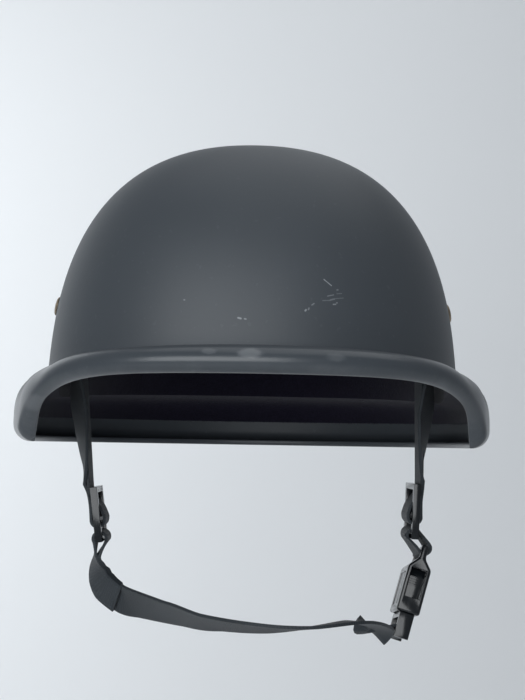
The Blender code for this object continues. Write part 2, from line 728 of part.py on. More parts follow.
def make_buckle_clip(material):
    """The plug half: a base with a strap slot, two sprung arms and a middle tongue, in one outline."""
    frame = clip_frame()
    base = CLIP_BASE_WIDTH / 2
    inside = BUCKLE_WIDTH / 2 - BUCKLE_WALL - BUCKLE_PLAY
    reach = BUCKLE_LENGTH - (BUCKLE_BAR + BUCKLE_SLOT + BUCKLE_SHOULDER) - BUCKLE_PLAY
    arm = CLIP_ARM_THICKNESS
    tongue = CLIP_TONGUE_WIDTH / 2
    half = [
        (base, -CLIP_BASE_LENGTH),
        (base, -BUCKLE_PLAY),
        (inside - CLIP_ARM_SPRING, -BUCKLE_PLAY),
        (inside - CLIP_ARM_SPRING, reach * 0.45),
        (inside, reach * 0.6),
        (inside, reach * 0.8),
        (inside - arm, reach),
        (inside - CLIP_ARM_SPRING - arm, reach * 0.8),
        (inside - CLIP_ARM_SPRING - arm, BUCKLE_PLAY * 2),
        (tongue, BUCKLE_PLAY * 2),
        (tongue, reach * 0.9),
    ]
    outline = half + [(-y, z) for y, z in reversed(half)]
    thickness = BUCKLE_THICKNESS - 2 * (BUCKLE_WALL + BUCKLE_PLAY)
    clip = new_object("buckle_clip", outline_mesh("buckle_clip", outline, thickness), material)
    clip.matrix_local = frame
    slot_half = WEB_WIDTH / 2 + FIT * 2
    bar_low = -CLIP_BASE_LENGTH + CLIP_BAR_RISE
    bar_high = bar_low + BUCKLE_BAR
    bar_half = BUCKLE_NECK_THICKNESS / 2
    cuts = {
        "slot": (-thickness, thickness, bar_high, bar_high + BUCKLE_SLOT),
        "underside": (-thickness, thickness, bar_low - CLIP_BASE_LENGTH, bar_low),
        "inner_relief": (-thickness, -bar_half, bar_low - FIT, bar_high + FIT),
        "outer_relief": (bar_half, thickness, bar_low - FIT, bar_high + FIT),
    }
    for name, (near, far, low, high) in cuts.items():
        box = box_mesh(name, (near, -slot_half, low), (far, slot_half, high))
        cut(clip, as_cutter("clip_" + name, box, frame))
    bevel(clip, MOULDED_EDGE, 1)
    return clip


def link_route():
    """A closed loop of webbing round the right slider's bottom bar and the buckle's top bar."""
    slider = hanging_frame("right_slider")
    buckle = hanging_frame("buckle")
    slider_radius = wrap_radius(SLIDER_THICKNESS, SLIDER_BAR)
    buckle_radius = wrap_radius(BUCKLE_NECK_THICKNESS, BUCKLE_BAR)
    slider_bar = (0.0, 0.0, slider_bars()["bottom"])
    buckle_bar = (0.0, 0.0, -BUCKLE_BAR / 2)
    turned = LOOP_START + 180.0
    over = wrap(slider, slider_bar, slider_radius, LOOP_START, turned, WRAP_STEPS)
    under = wrap(buckle, buckle_bar, buckle_radius, turned, turned + 180.0, WRAP_STEPS)
    return over + under


def main():
    for obj in list(bpy.data.objects):
        bpy.data.objects.remove(obj, do_unlink=True)
    for name in ("helmet", "helmet_cutters"):
        collection = bpy.data.collections.new(name)
        bpy.context.scene.collection.children.link(collection)
    seat = bpy.data.objects.new("head_seat_to_rim", None)
    bpy.data.collections["helmet"].objects.link(seat)
    seat.location = (0.0, 0.0, -HEAD_SEAT_HEIGHT)

    paint = make_material("matt_black_paint", (0.045, 0.052, 0.06), 0.5)
    cloth = make_material("lining_cloth", (0.012, 0.011, 0.02), 0.95)
    brass = make_material("dull_brass", (0.4, 0.33, 0.22), 0.35, 1.0)
    webbing = make_material("black_webbing", (0.03, 0.035, 0.04), 0.8)
    plastic = make_material("black_plastic", (0.012, 0.013, 0.014), 0.3)

    frames = {}
    holes = []
    for side_name, side in (("left", -1), ("right", 1)):
        for end, azimuth in (("front", RIVET_FRONT_AZIMUTH), ("rear", RIVET_REAR_AZIMUTH)):
            frame = rivet_frame(side, azimuth)
            frames[side_name, end] = frame
            holes.append(rivet_hole(side_name + "_" + end + "_rivet_hole", frame))
            make_rivet(side_name + "_" + end + "_rivet", frame, brass)
    make_shell(paint, holes)
    make_lining(cloth, holes)
    for side_name, side in (("left", -1), ("right", 1)):
        ends = {end: frames[side_name, end] for end in ("front", "rear")}
        route = side_strap_route(side, side_name + "_slider", ends)
        strap = make_webbing(side_name + "_side_strap", route, webbing)
        for hole in holes:
            if hole.name.startswith(side_name):
                cut(strap, hole)
        make_slider(side_name + "_slider", plastic)
    make_webbing("chin_strap", chin_strap_route(), webbing)
    make_webbing("buckle_loop", link_route(), webbing, closed=True)
    make_buckle_body(plastic)
    make_buckle_clip(plastic)


main()
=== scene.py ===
import json
from math import cos, hypot, pi, radians, sin

import bmesh
import bpy
import numpy as np
from bpy.props import FloatProperty, FloatVectorProperty, IntProperty, PointerProperty
from mathutils import Matrix, Vector
from mathutils.geometry import interpolate_bezier

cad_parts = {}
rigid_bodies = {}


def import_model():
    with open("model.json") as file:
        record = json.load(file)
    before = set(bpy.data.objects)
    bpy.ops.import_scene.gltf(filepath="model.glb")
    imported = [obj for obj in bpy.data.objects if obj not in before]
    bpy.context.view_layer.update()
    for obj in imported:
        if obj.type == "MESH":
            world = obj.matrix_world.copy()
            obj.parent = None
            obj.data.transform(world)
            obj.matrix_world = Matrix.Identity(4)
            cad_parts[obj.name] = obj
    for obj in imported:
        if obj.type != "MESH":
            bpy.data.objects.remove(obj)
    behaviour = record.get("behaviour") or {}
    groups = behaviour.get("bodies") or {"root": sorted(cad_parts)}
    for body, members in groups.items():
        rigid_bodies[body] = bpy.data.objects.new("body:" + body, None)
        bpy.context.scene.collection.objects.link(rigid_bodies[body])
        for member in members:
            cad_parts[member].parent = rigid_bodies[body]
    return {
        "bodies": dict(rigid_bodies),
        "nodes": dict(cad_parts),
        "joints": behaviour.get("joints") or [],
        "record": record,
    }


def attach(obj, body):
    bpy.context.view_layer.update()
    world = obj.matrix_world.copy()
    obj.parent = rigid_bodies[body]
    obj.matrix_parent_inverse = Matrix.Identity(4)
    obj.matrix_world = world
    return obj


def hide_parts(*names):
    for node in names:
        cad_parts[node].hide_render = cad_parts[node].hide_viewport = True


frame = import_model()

bl_info = {
    "name": "Military helmet",
    "version": (1, 0, 0),
    "blender": (4, 5, 0),
    "location": "3D View > Sidebar > Helmet",
    "description": "Builds the looks of a military helmet round its fixed frame",
    "category": "Add Mesh",
}

MM = 0.001

# Shell, outside sizes
DOME_HALF_WIDTH = 105.5 * MM
DOME_FRONT = 124.0 * MM
DOME_REAR = 124.0 * MM
CROWN_HEIGHT = 153.5 * MM
CREASE_FRONT_HEIGHT = 41.7 * MM
CREASE_SIDE_HEIGHT = 28.9 * MM
CREASE_REAR_HEIGHT = 36.0 * MM
PLAN_POWER = 2.15
DOME_POWER = 2.4
DOME_LEAN = 0.07
SHELL_WALL = 3.4 * MM

# Brim: how far it stands out from the dome, and the height of its lip
BRIM_FRONT_REACH = 23.0 * MM
BRIM_SIDE_REACH = 15.3 * MM
BRIM_REAR_REACH = 22.0 * MM
BRIM_SWEEP = 1.86
VISOR_LIP_HEIGHT = 28.9 * MM
HOOD_BREAK = radians(18.0)
ROLL_SHAPE = 1.7
FLAT_SHARE = 0.28
CREASE_DIP = 0.12
HOOD_FULLNESS = 3.4
CURL_FRONT = 5.4 * MM
CURL_SIDE = 8.7 * MM
CURL_START = radians(46.0)
SWEEP_START = radians(6.5)
SWEEP_END = radians(58.6)
SWEEP_HOLD = 4.1
SWEEP_EASE = 0.96

# Lining
PAD_THICKNESS = 5.0 * MM
HEM_THICKNESS = 1.6 * MM
HEM_FRONT_SHARE = 0.55
HEM_SIDE_SHARE = 0.93
FIT = 0.35 * MM

# Rivets
RIVET_HEIGHT = 69.0 * MM
RIVET_FRONT_AZIMUTH = radians(77.0)
RIVET_REAR_AZIMUTH = radians(102.0)
RIVET_HEAD_RADIUS = 4.8 * MM
RIVET_HEAD_RISE = 1.7 * MM
RIVET_SHANK_RADIUS = 1.9 * MM
RIVET_TAIL_RADIUS = 4.2 * MM
RIVET_TAIL_THICKNESS = 0.9 * MM

# Webbing
WEB_WIDTH = 19.0 * MM
WEB_THICKNESS = 1.5 * MM
TAB_LENGTH = 11.0 * MM
TAB_STANDOFF = 1.6 * MM
STRAP_RISE = 3.5 * MM
STRAP_DROP = 100.0 * MM

# The front run of a side strap: a share of the way from its tab to the slider, and the sideways part of the
# strap's width direction there
STRAP_TWIST = (
    (0.3, 0.38),
    (0.48, 0.5),
    (0.72, 0.34),
    (0.88, 0.2),
)

# Three-bar slider
SLIDER_WIDTH = 29.0 * MM
SLIDER_HEIGHT = 28.5 * MM
SLIDER_THICKNESS = 3.6 * MM
SLIDER_RAIL = 3.6 * MM
SLIDER_BAR = 3.0 * MM
SLIDER_LOWER_SLOT = 6.6 * MM

# Side-release buckle
BUCKLE_WIDTH = 27.0 * MM
BUCKLE_LENGTH = 36.0 * MM
BUCKLE_THICKNESS = 12.0 * MM
BUCKLE_WALL = 1.8 * MM
BUCKLE_BAR = 2.4 * MM
BUCKLE_SLOT = 4.8 * MM
BUCKLE_NECK_THICKNESS = 3.4 * MM
BUCKLE_SHOULDER = 5.0 * MM
WINDOW_LENGTH = 15.5 * MM
WINDOW_START = 0.5 * MM
CLIP_BASE_LENGTH = 13.0 * MM
CLIP_BAR_RISE = 2.8 * MM
CLIP_BASE_WIDTH = 25.0 * MM
CLIP_ARM_THICKNESS = 2.6 * MM
CLIP_TONGUE_WIDTH = 6.0 * MM
CLIP_ARM_SPRING = 1.2 * MM
BUCKLE_PLAY = 0.5 * MM
BUCKLE_CORNER = 1.2 * MM

# Where webbing meets and leaves a bar, in degrees from the bar's outer side towards its upper one
FOLD_START = 200.0
FOLD_END = -25.0
CLIP_ENTRY = 120.0
CLIP_EXIT = -60.0
LOOP_START = 40.0
WRAP_STEPS = 8

# Where the hardware hangs: the place of each end as shares of DOME_HALF_WIDTH, DOME_FRONT and STRAP_DROP.
# bow is how far the outer layer of webbing stands off above a slider, in layers
HANGING = {
    "left_slider": dict(top=(-0.7706, 0.0484, -0.232), bottom=(-0.7355, 0.0484, -0.516), bow=1.25),
    "right_slider": dict(top=(0.8284, 0.0484, -0.19), bottom=(0.8171, 0.0484, -0.475), bow=0.5),
    "buckle": dict(top=(0.8701, 0.0242, -0.526), bottom=(0.7355, -0.0484, -0.98)),
}

# Moulded details: grip ribs, shallow panels and the buckle's grips
RIB_PITCH = 0.8 * MM
RIB_DEPTH = 0.25 * MM
RIB_HALF = 0.16 * MM
PANEL_DEPTH = 0.35 * MM
PANEL_MARGIN = 3.0 * MM
GRIP_COUNT = 7
GRIP_DEPTH = 0.25 * MM
GRIP_WIDTH = 0.3 * MM

# Where the stitches are: from a strap's end to the bars of stitches, and the share of the width they take
TAB_STITCHES = 1.5 * MM
FOLD_STITCH_START = 2.0 * MM
FOLD_STITCH_END = 14.0 * MM
STITCH_REACH = 0.82
STITCH_LINES = (-0.8, 0.8)

# Fine divisions for the looks. A span of azimuths has its start, its end and its steps
AZIMUTH_SPANS = (
    (0.0, SWEEP_START, 12),
    (SWEEP_START, SWEEP_END, 48),
    (SWEEP_END, pi, 66),
)
DOME_ROWS = 45
HEM_ROWS = 12
LIP_ROWS = 3
CURL_ROWS = 8
ACROSS_STEPS = 10
RIVET_STEPS = 48
DETAIL = 3

HEAD_SEAT_HEIGHT = CROWN_HEIGHT - SHELL_WALL - FIT - PAD_THICKNESS
TO_ROW = Matrix.Translation((0.0, 0.0, -HEAD_SEAT_HEIGHT))
ROOT = "root"
SIDES = {"left": -1, "right": 1}
SHELL_EDGE = 0.9 * MM

# Where the shell's paint is marked, in mm, with heights above the rim plane. A scratch has the x and z of
# both ends, its half width and its strength. The patches are lighter paint on the lip, partly worn paint
# and partly painted highlights and reflections; a patch has its place, its radius and its strength
PATCH_FLATNESS = 2.4
SCRATCHES = (
    (28.4, 71.9, 31.7, 69.3, 0.2, 0.6),
    (30.0, 64.5, 32.6, 65.2, 0.22, 0.35),
    (34.2, 65.8, 36.3, 66.1, 0.2, 0.22),
    (27.8, 62.4, 31.0, 62.7, 0.2, 0.22),
    (31.2, 62.8, 33.0, 63.4, 0.35, 0.3),
    (33.4, 63.6, 37.0, 64.1, 0.16, 0.22),
    (34.2, 67.5, 34.6, 67.6, 0.3, 0.3),
    (32.5, 61.0, 33.5, 61.1, 0.28, 0.5),
    (34.0, 61.7, 34.2, 61.8, 0.28, 0.4),
    (23.0, 60.2, 24.0, 60.9, 0.25, 0.4),
    (20.2, 57.6, 20.5, 58.0, 0.38, 0.6),
    (21.6, 58.2, 21.8, 58.8, 0.3, 0.35),
    (-8.5, 53.8, -7.3, 53.5, 0.36, 0.6),
    (-5.7, 53.4, -5.1, 53.3, 0.3, 0.5),
    (-31.8, 61.7, -31.6, 61.7, 0.32, 0.4),
)
WEAR_AND_HIGHLIGHT_PATCHES = (
    (-3.5, -145.0, 37.0, 6.5, 1.0),
    (-20.0, -143.5, 37.6, 4.0, 0.5),
    (31.0, -140.0, 36.0, 6.0, 0.45),
    (52.0, -131.0, 34.0, 4.0, 0.35),
    (-99.0, -86.0, 17.0, 13.0, 0.5),
)

# The stage: the backdrop's sizes, and each light's power setting, size, place and aim
BACKDROP_HALF_WIDTH = 3.0
BACKDROP_FRONT = -2.0
BACKDROP_BEHIND = 1.1
BACKDROP_RISE = 2.0
BACKDROP_BEND = 0.5
BEND_STEPS = 16
LIGHTS = {
    "window": ("key", (1.5, 0.9), (-0.42, -1.2, 0.12), (0.0, 0.0, 0.0)),
    "ceiling": ("top", (1.4, 1.4), (0.2, 0.15, 1.1), (0.0, 0.0, 0.0)),
    "wall_wash": ("wash", (0.8, 0.8), (-0.9, 0.3, 0.2), (-0.6, 1.1, 0.1)),
}


def smooth_step(value, start, end):
    share = min(max((value - start) / (end - start), 0.0), 1.0)
    return share * share * (3.0 - 2.0 * share)


def azimuths():
    """Angles from the front round by the right side, closest together where the lip sweeps down."""
    half = []
    for start, end, steps in AZIMUTH_SPANS:
        step = (end - start) / steps
        half.extend(start + step * i for i in range(steps))
    return half + [pi] + [2 * pi - a for a in reversed(half[1:])]


def from_front(azimuth):
    return min(azimuth, 2 * pi - azimuth)


def side_share(azimuth):
    """0 over the face, 1 round the sides and back."""
    return smooth_step(from_front(azimuth), CURL_START, SWEEP_END)


def plan_radius(azimuth):
    """Radius of the dome's plan at the crease."""
    length = DOME_FRONT if cos(azimuth) > 0 else DOME_REAR
    across = abs(sin(azimuth) / DOME_HALF_WIDTH) ** PLAN_POWER
    along = abs(cos(azimuth) / length) ** PLAN_POWER
    return (across + along) ** (-1.0 / PLAN_POWER)


def brim_reach(azimuth):
    end = BRIM_FRONT_REACH if cos(azimuth) > 0 else BRIM_REAR_REACH
    return BRIM_SIDE_REACH + (end - BRIM_SIDE_REACH) * abs(cos(azimuth)) ** BRIM_SWEEP


def lip_height(azimuth):
    """The lip is high over the face, sweeps down at the temples and is level round the sides and back."""
    share = min(max((from_front(azimuth) - SWEEP_START) / (SWEEP_END - SWEEP_START), 0.0), 1.0)
    return VISOR_LIP_HEIGHT * (1.0 - share ** SWEEP_HOLD) ** SWEEP_EASE


def crease_height(azimuth):
    """The crease climbs evenly from a rounded dip at each side to the front and the rear."""
    end = CREASE_FRONT_HEIGHT if cos(azimuth) > 0 else CREASE_REAR_HEIGHT
    climb = (hypot(cos(azimuth), CREASE_DIP) - CREASE_DIP) / (hypot(1.0, CREASE_DIP) - CREASE_DIP)
    return CREASE_SIDE_HEIGHT + (end - CREASE_SIDE_HEIGHT) * climb


def around(azimuth, radius, height):
    return Vector((radius * sin(azimuth), -radius * cos(azimuth), height))


def dome_point(azimuth, slope):
    """slope runs from 0 at the crown to a right angle at the crease."""
    rise = cos(slope) ** (2 / DOME_POWER)
    share = sin(slope) ** (2 / DOME_POWER) * (1.0 - DOME_LEAN * rise * (1.0 - rise))
    crease = crease_height(azimuth)
    height = crease + (CROWN_HEIGHT - crease) * rise
    return around(azimuth, plan_radius(azimuth) * share, height)


def curl_radius(azimuth):
    """The roll under the lip is tight over the face and wide round the sides and back."""
    return CURL_FRONT + (CURL_SIDE - CURL_FRONT) * side_share(azimuth)


def hood_point(azimuth, share):
    """share runs from 0 at the crease to 1 where the brim is widest: a flat, then a full quarter curve."""
    power = 2 / (2 + (HOOD_FULLNESS - 2) * side_share(azimuth))
    reach = brim_reach(azimuth)
    widest = lip_height(azimuth) + curl_radius(azimuth)
    drop = crease_height(azimuth) - widest
    arc = min(reach, ROLL_SHAPE * drop)
    start = HOOD_BREAK * smooth_step(ROLL_SHAPE * drop / reach, 1.0, 1.8)
    turn = start + (pi / 2 - start) * share
    near = sin(start) ** power
    out = (reach - arc) * min(share / FLAT_SHARE, 1.0) + arc * (sin(turn) ** power - near) / (1.0 - near)
    fall = max(cos(turn), 0.0) ** power / cos(start) ** power
    return around(azimuth, plan_radius(azimuth) + out, widest + drop * fall)


def curl_point(azimuth, turn):
    """The lip's roll, from the widest line down and inwards."""
    radius = curl_radius(azimuth)
    out = plan_radius(azimuth) + brim_reach(azimuth) - radius * (1.0 - cos(turn))
    return around(azimuth, out, lip_height(azimuth) + radius * (1.0 - sin(turn)))


def hem_share(azimuth):
    """Where the lining ends on the hood: well short of the lip over the face, close to it elsewhere."""
    return HEM_FRONT_SHARE + (HEM_SIDE_SHARE - HEM_FRONT_SHARE) * side_share(azimuth)


def square_to(axis, direction):
    """The direction, turned square to a unit axis."""
    return (direction - axis * direction.dot(axis)).normalized()


def frame_from(origin, thickness_axis, up):
    """A placing matrix: local X is the thickness, local Y the width, local Z up along the strap."""
    z = up.normalized()
    x = square_to(z, thickness_axis)
    y = z.cross(x)
    return Matrix.Translation(origin) @ Matrix((x, y, z)).transposed().to_4x4()


def hung_point(x, y, z):
    """A point under the rim, from its shares of the dome's half width and front and of the straps' drop."""
    return Vector((x * DOME_HALF_WIDTH, y * DOME_FRONT, z * STRAP_DROP))


def hanging_frame(name):
    """The frame of a slider or the buckle, with its origin at the middle of its top end."""
    top = hung_point(*HANGING[name]["top"])
    bottom = hung_point(*HANGING[name]["bottom"])
    return frame_from(top, Vector((1.0, 0.0, 0.0)), top - bottom)


def rivet_frame(side, azimuth):
    """Origin on the shell's outer face, local X straight out of it."""
    low, high = 0.0, pi / 2
    while high - low > 1e-6:
        middle = (low + high) / 2
        if dome_point(azimuth, middle).z > RIVET_HEIGHT:
            low = middle
        else:
            high = middle
    step = 0.01
    point = dome_point(azimuth, low)
    down = dome_point(azimuth, low + step) - dome_point(azimuth, low - step)
    along = dome_point(azimuth + step, low) - dome_point(azimuth - step, low)
    normal = down.cross(along).normalized()
    if normal.dot(point) < 0:
        normal = -normal
    mirror = Vector((side, 1.0, 1.0))
    outward = normal * mirror
    return frame_from(point * mirror, outward, Vector((0.0, 0.0, 1.0)) - outward * outward.z)


def rivet_frames(side):
    """The frames of a side's two rivets."""
    front = rivet_frame(side, RIVET_FRONT_AZIMUTH)
    return {"front": front, "rear": rivet_frame(side, RIVET_REAR_AZIMUTH)}


def through_depth():
    """From the shell's outer face to the strap tab's inner face."""
    return SHELL_WALL + FIT + PAD_THICKNESS + TAB_STANDOFF + WEB_THICKNESS


def smooth_route(rows, steps):
    """Rows of (centre, width direction), resampled on a smooth curve through them."""
    last = len(rows) - 1
    fine = steps * DETAIL
    route = []
    for i in range(last):
        here, width = rows[i]
        there, next_width = rows[i + 1]
        leave = (there - rows[max(i - 1, 0)][0]) / 6
        arrive = (rows[min(i + 2, last)][0] - here) / 6
        points = interpolate_bezier(here, here + leave, there - arrive, there, fine + 1)
        for k, point in enumerate(points[:-1]):
            route.append((Vector(point), width.lerp(next_width, k / fine)))
    route.append(rows[-1])
    return route


def wrap_radius(thickness, height):
    """Radius of a strap's middle where it turns round a bar of that section, clear of the bar's corners."""
    return Vector((thickness, height)).length / 2 + FIT + WEB_THICKNESS / 2


def wrap(frame, centre, radius, start, end):
    """Rows round a bar that lies along the frame's local Y. Angles are from local X towards local Z."""
    across = frame.to_3x3() @ Vector((0.0, 1.0, 0.0))
    rows = []
    steps = WRAP_STEPS * DETAIL
    for i in range(steps + 1):
        angle = radians(start + (end - start) * i / steps)
        point = Vector(centre) + Vector((cos(angle), 0.0, sin(angle))) * radius
        rows.append((frame @ point, across))
    return rows


def slider_bars():
    """Heights of the three bars' middles under the slider's top."""
    half = SLIDER_BAR / 2
    bottom = -SLIDER_HEIGHT + half
    middle = bottom + SLIDER_BAR + SLIDER_LOWER_SLOT
    return dict(top=-half, middle=middle, bottom=bottom)


def tab_rows(frame, toward):
    """Rows of a strap's riveted end, flat against the lining and pointing at the next row."""
    back = -(through_depth() - WEB_THICKNESS / 2)
    centre = frame @ Vector((back, 0.0, 0.0))
    normal = frame.to_3x3() @ Vector((1.0, 0.0, 0.0))
    line = square_to(normal, toward - centre)
    across = line.cross(normal)
    if across.y < 0:
        across = -across
    return [(centre + line * TAB_LENGTH * share, across) for share in (-0.75, 0.0, 0.75, 1.5)]


def side_strap_route(side, name):
    """Down from the front rivet outside the slider, round its middle bar, up inside to the rear rivet."""
    ends = rivet_frames(side)
    frame = hanging_frame(name)
    bars = slider_bars()
    bar = (0.0, 0.0, bars["middle"])
    radius = wrap_radius(SLIDER_THICKNESS, SLIDER_BAR)
    turn = wrap(frame, bar, radius, *((0.0, -180.0) if side > 0 else (180.0, 360.0)))
    across = turn[0][1]
    near_face = SLIDER_THICKNESS / 2 + FIT + WEB_THICKNESS / 2
    layer = WEB_THICKNESS + FIT
    slot_top = bars["top"] - SLIDER_BAR / 2
    slot = slot_top - bars["middle"] - SLIDER_BAR / 2

    def threaded(table):
        return [(frame @ Vector((side * x, 0.0, z)), across) for x, z in table]

    outer = threaded((
        (near_face + layer * HANGING[name]["bow"], STRAP_RISE),
        (near_face + layer * 0.35, slot_top),
        (near_face + layer * 0.1, slot_top - slot * 0.5),
    ))
    inner = threaded((
        (-radius, bars["middle"] + SLIDER_BAR * 0.6),
        (-radius * 0.45, slot_top - slot * 0.55),
        (near_face * 0.75, slot_top - slot * 0.16),
        (near_face, slot_top + SLIDER_BAR * 0.3),
        (near_face, STRAP_RISE),
    ))
    front_tab = tab_rows(ends["front"], outer[0][0])
    rear_tab = tab_rows(ends["rear"], inner[-1][0])
    front = []
    rear = []
    for share, twist in STRAP_TWIST:
        turned = Vector((side * twist, (1.0 - twist ** 2) ** 0.5, 0.0))
        front.append((front_tab[-1][0].lerp(outer[0][0], share), turned))
        rear.append((rear_tab[-1][0].lerp(inner[-1][0], share), across.lerp(rear_tab[-1][1], 1.0 - share)))
    upper = smooth_route(front_tab + front + outer + [turn[0]], 3)
    lower = smooth_route([turn[-1]] + inner + rear[::-1] + rear_tab[::-1], 3)
    return upper[:-1] + turn + lower[1:]


def chin_strap_route():
    """From the stitched end, up outside the left slider's bottom bar, over it, and across to the clip."""
    slider = hanging_frame("left_slider")
    bar = (0.0, 0.0, slider_bars()["bottom"])
    radius = wrap_radius(SLIDER_THICKNESS, SLIDER_BAR)
    turn = wrap(slider, bar, radius, FOLD_START, FOLD_END)
    fold = (
        ((-0.6427, -0.0081, -0.81), (-0.17, 0.55, -0.82)),
        ((-0.7166, 0.0177, -0.753), (-0.45, 0.62, -0.64)),
        ((-0.7479, 0.0323, -0.696), (-0.53, 0.77, -0.36)),
        ((-0.7621, 0.0403, -0.648), (-0.38, 0.91, -0.15)),
        ((-0.764, 0.0452, -0.594), (-0.15, 0.98, -0.03)),
    )
    run = (
        ((-0.5564, -0.0565, -0.82), (-0.05, 0.74, -0.67)),
        ((-0.3536, -0.2419, -0.839), (0.00, 0.87, -0.50)),
        ((-0.1744, -0.4194, -0.846), (0.03, 0.93, -0.37)),
        ((0.0531, -0.5565, -0.843), (0.0, 0.95, -0.30)),
        ((0.2578, -0.5645, -0.838), (-0.05, 0.98, -0.16)),
        ((0.4787, -0.4355, -0.834), (-0.45, 0.89, -0.14)),
        ((0.6019, -0.2016, -0.895), (-0.55, 0.83, -0.06)),
    )

    def rows(table, shift=0.0):
        out = [(hung_point(*place), Vector(width).normalized()) for place, width in table]
        if not shift:
            return out
        moved = []
        for i, (centre, width) in enumerate(out):
            along = out[min(i + 1, len(out) - 1)][0] - out[max(i - 1, 0)][0]
            moved.append((centre + along.normalized().cross(width) * shift, width))
        return moved

    layer = WEB_THICKNESS + FIT
    outer = rows(fold)
    inner = rows(fold[::-1], layer)
    clip = clip_frame()
    post = (0.0, 0.0, -CLIP_BASE_LENGTH + CLIP_BAR_RISE + BUCKLE_BAR / 2)
    clip_radius = wrap_radius(BUCKLE_NECK_THICKNESS, BUCKLE_BAR)
    clip_turn = wrap(clip, post, clip_radius, CLIP_ENTRY, CLIP_EXIT)
    across = clip_turn[0][1]
    entry = Vector((cos(radians(CLIP_ENTRY)), 0.0, sin(radians(CLIP_ENTRY))))
    back = Vector((-entry.z, 0.0, entry.x))
    approach = [
        (clip @ (Vector(post) + entry * clip_radius + back * clip_radius * share), across)
        for share in (4.4, 3.0, 1.2)
    ]
    tail_end = entry * (clip_radius - layer) + back * clip_radius * 2.6
    tail = [(clip @ (Vector(post) + tail_end), across)]
    upper = smooth_route(outer + [turn[0]], 3)
    lower = smooth_route([turn[-1]] + inner + rows(run) + approach + [clip_turn[0]], 4)
    return upper[:-1] + turn + lower[1:-1] + clip_turn + tail


def clip_frame():
    """The buckle's frame moved down to the body's mouth."""
    return hanging_frame("buckle") @ Matrix.Translation((0.0, 0.0, -BUCKLE_LENGTH))


def link_route():
    """A closed loop of webbing round the right slider's bottom bar and the buckle's top bar."""
    slider = hanging_frame("right_slider")
    buckle = hanging_frame("buckle")
    slider_radius = wrap_radius(SLIDER_THICKNESS, SLIDER_BAR)
    buckle_radius = wrap_radius(BUCKLE_NECK_THICKNESS, BUCKLE_BAR)
    slider_bar = (0.0, 0.0, slider_bars()["bottom"])
    buckle_bar = (0.0, 0.0, -BUCKLE_BAR / 2)
    turned = LOOP_START + 180.0
    over = wrap(slider, slider_bar, slider_radius, LOOP_START, turned)
    under = wrap(buckle, buckle_bar, buckle_radius, turned, turned + 180.0)
    return over + under


class Value:
    """A shader value. Sums and products of values and numbers become Math nodes."""

    def __init__(self, look, socket):
        self.look = look
        self.socket = socket

    def combine(self, operation, *values):
        return self.look.node("ShaderNodeMath", {"operation": operation}, dict(enumerate(values)))

    def __add__(self, other):
        return self.combine("ADD", self, other)

    def __radd__(self, other):
        return self.combine("ADD", other, self)

    def __sub__(self, other):
        return self.combine("SUBTRACT", self, other)

    def __rsub__(self, other):
        return self.combine("SUBTRACT", other, self)

    def __mul__(self, other):
        return self.combine("MULTIPLY", self, other)

    def __truediv__(self, other):
        return self.combine("DIVIDE", self, other)

    def __pow__(self, other):
        return self.combine("POWER", self, other)

    def least(self, other):
        return self.combine("MINIMUM", self, other)

    def most(self, other):
        return self.combine("MAXIMUM", self, other)

    def above(self, level):
        return self.combine("GREATER_THAN", self, level)

    def sine(self):
        return self.combine("SINE", self)

    def size(self):
        return self.combine("ABSOLUTE", self)

    def ramp(self, low, high):
        """0 below low, 1 above high, smooth between. A high below low turns it round."""
        if low > high:
            return 1.0 - self.ramp(high, low)
        sockets = {"Value": self, "From Min": low, "From Max": high}
        settings = {"interpolation_type": "SMOOTHSTEP"}
        return self.look.node("ShaderNodeMapRange", settings, sockets, "Result")


class Look:
    """One procedural material, built through its node method."""

    def __init__(self, name):
        self.material = bpy.data.materials.new(name)
        self.material.use_nodes = True
        self.tree = self.material.node_tree
        self.shader = self.tree.nodes["Principled BSDF"]
        self.colours = bpy.context.scene.helmet_look

    def put(self, socket, value):
        if isinstance(value, Value):
            self.tree.links.new(value.socket, socket)
        elif isinstance(value, (int, float)) and hasattr(socket.default_value, "__len__"):
            socket.default_value = [value] * len(socket.default_value)
        else:
            socket.default_value = value

    def node(self, kind, settings=None, sockets=None, output=0):
        made = self.tree.nodes.new(kind)
        for key, value in (settings or {}).items():
            setattr(made, key, value)
        for key, value in (sockets or {}).items():
            self.put(made.inputs[key], value)
        return Value(self, made.outputs[output])

    def place(self):
        return self.node("ShaderNodeTexCoord", output="Object")

    def attribute(self, name):
        return self.node("ShaderNodeAttribute", {"attribute_name": name}, output="Fac")

    def axes(self, vector):
        split = self.node("ShaderNodeSeparateXYZ", None, {0: vector}).socket.node
        return [Value(self, out) for out in split.outputs]

    def stretched(self, vector, scale):
        return self.node("ShaderNodeMapping", None, {"Vector": vector, "Scale": scale})

    def noise(self, vector, scale, detail=2.0, rough=0.5):
        sockets = {"Vector": vector, "Scale": scale, "Detail": detail, "Roughness": rough}
        return self.node("ShaderNodeTexNoise", None, sockets, "Fac")

    def mix(self, factor, a, b):
        rows = {"Factor": factor, "A": (*a, 1.0) if isinstance(a, tuple) else a,
                "B": (*b, 1.0) if isinstance(b, tuple) else b}
        made = self.tree.nodes.new("ShaderNodeMix")
        made.data_type = "RGBA"
        for socket in made.inputs:
            if socket.enabled and socket.name in rows:
                self.put(socket, rows[socket.name])
        shown = [socket for socket in made.outputs if socket.enabled]
        return Value(self, shown[0])

    def bump(self, height, strength, distance):
        sockets = {"Height": height, "Strength": strength, "Distance": distance}
        return self.node("ShaderNodeBump", None, sockets, "Normal")

    def finish(self, **sockets):
        for key, value in sockets.items():
            name = key.replace("_", " ").title().replace("Ior", "IOR")
            self.put(self.shader.inputs[name], (*value, 1.0) if isinstance(value, tuple) else value)
        return self.material


def colour_setting(name, description, default):
    return FloatVectorProperty(name=name, description=description, subtype="COLOR",
                               default=default, min=0.0, max=1.0)


def length_setting(name, description, default):
    return FloatProperty(name=name, description=description, unit="LENGTH", default=default)


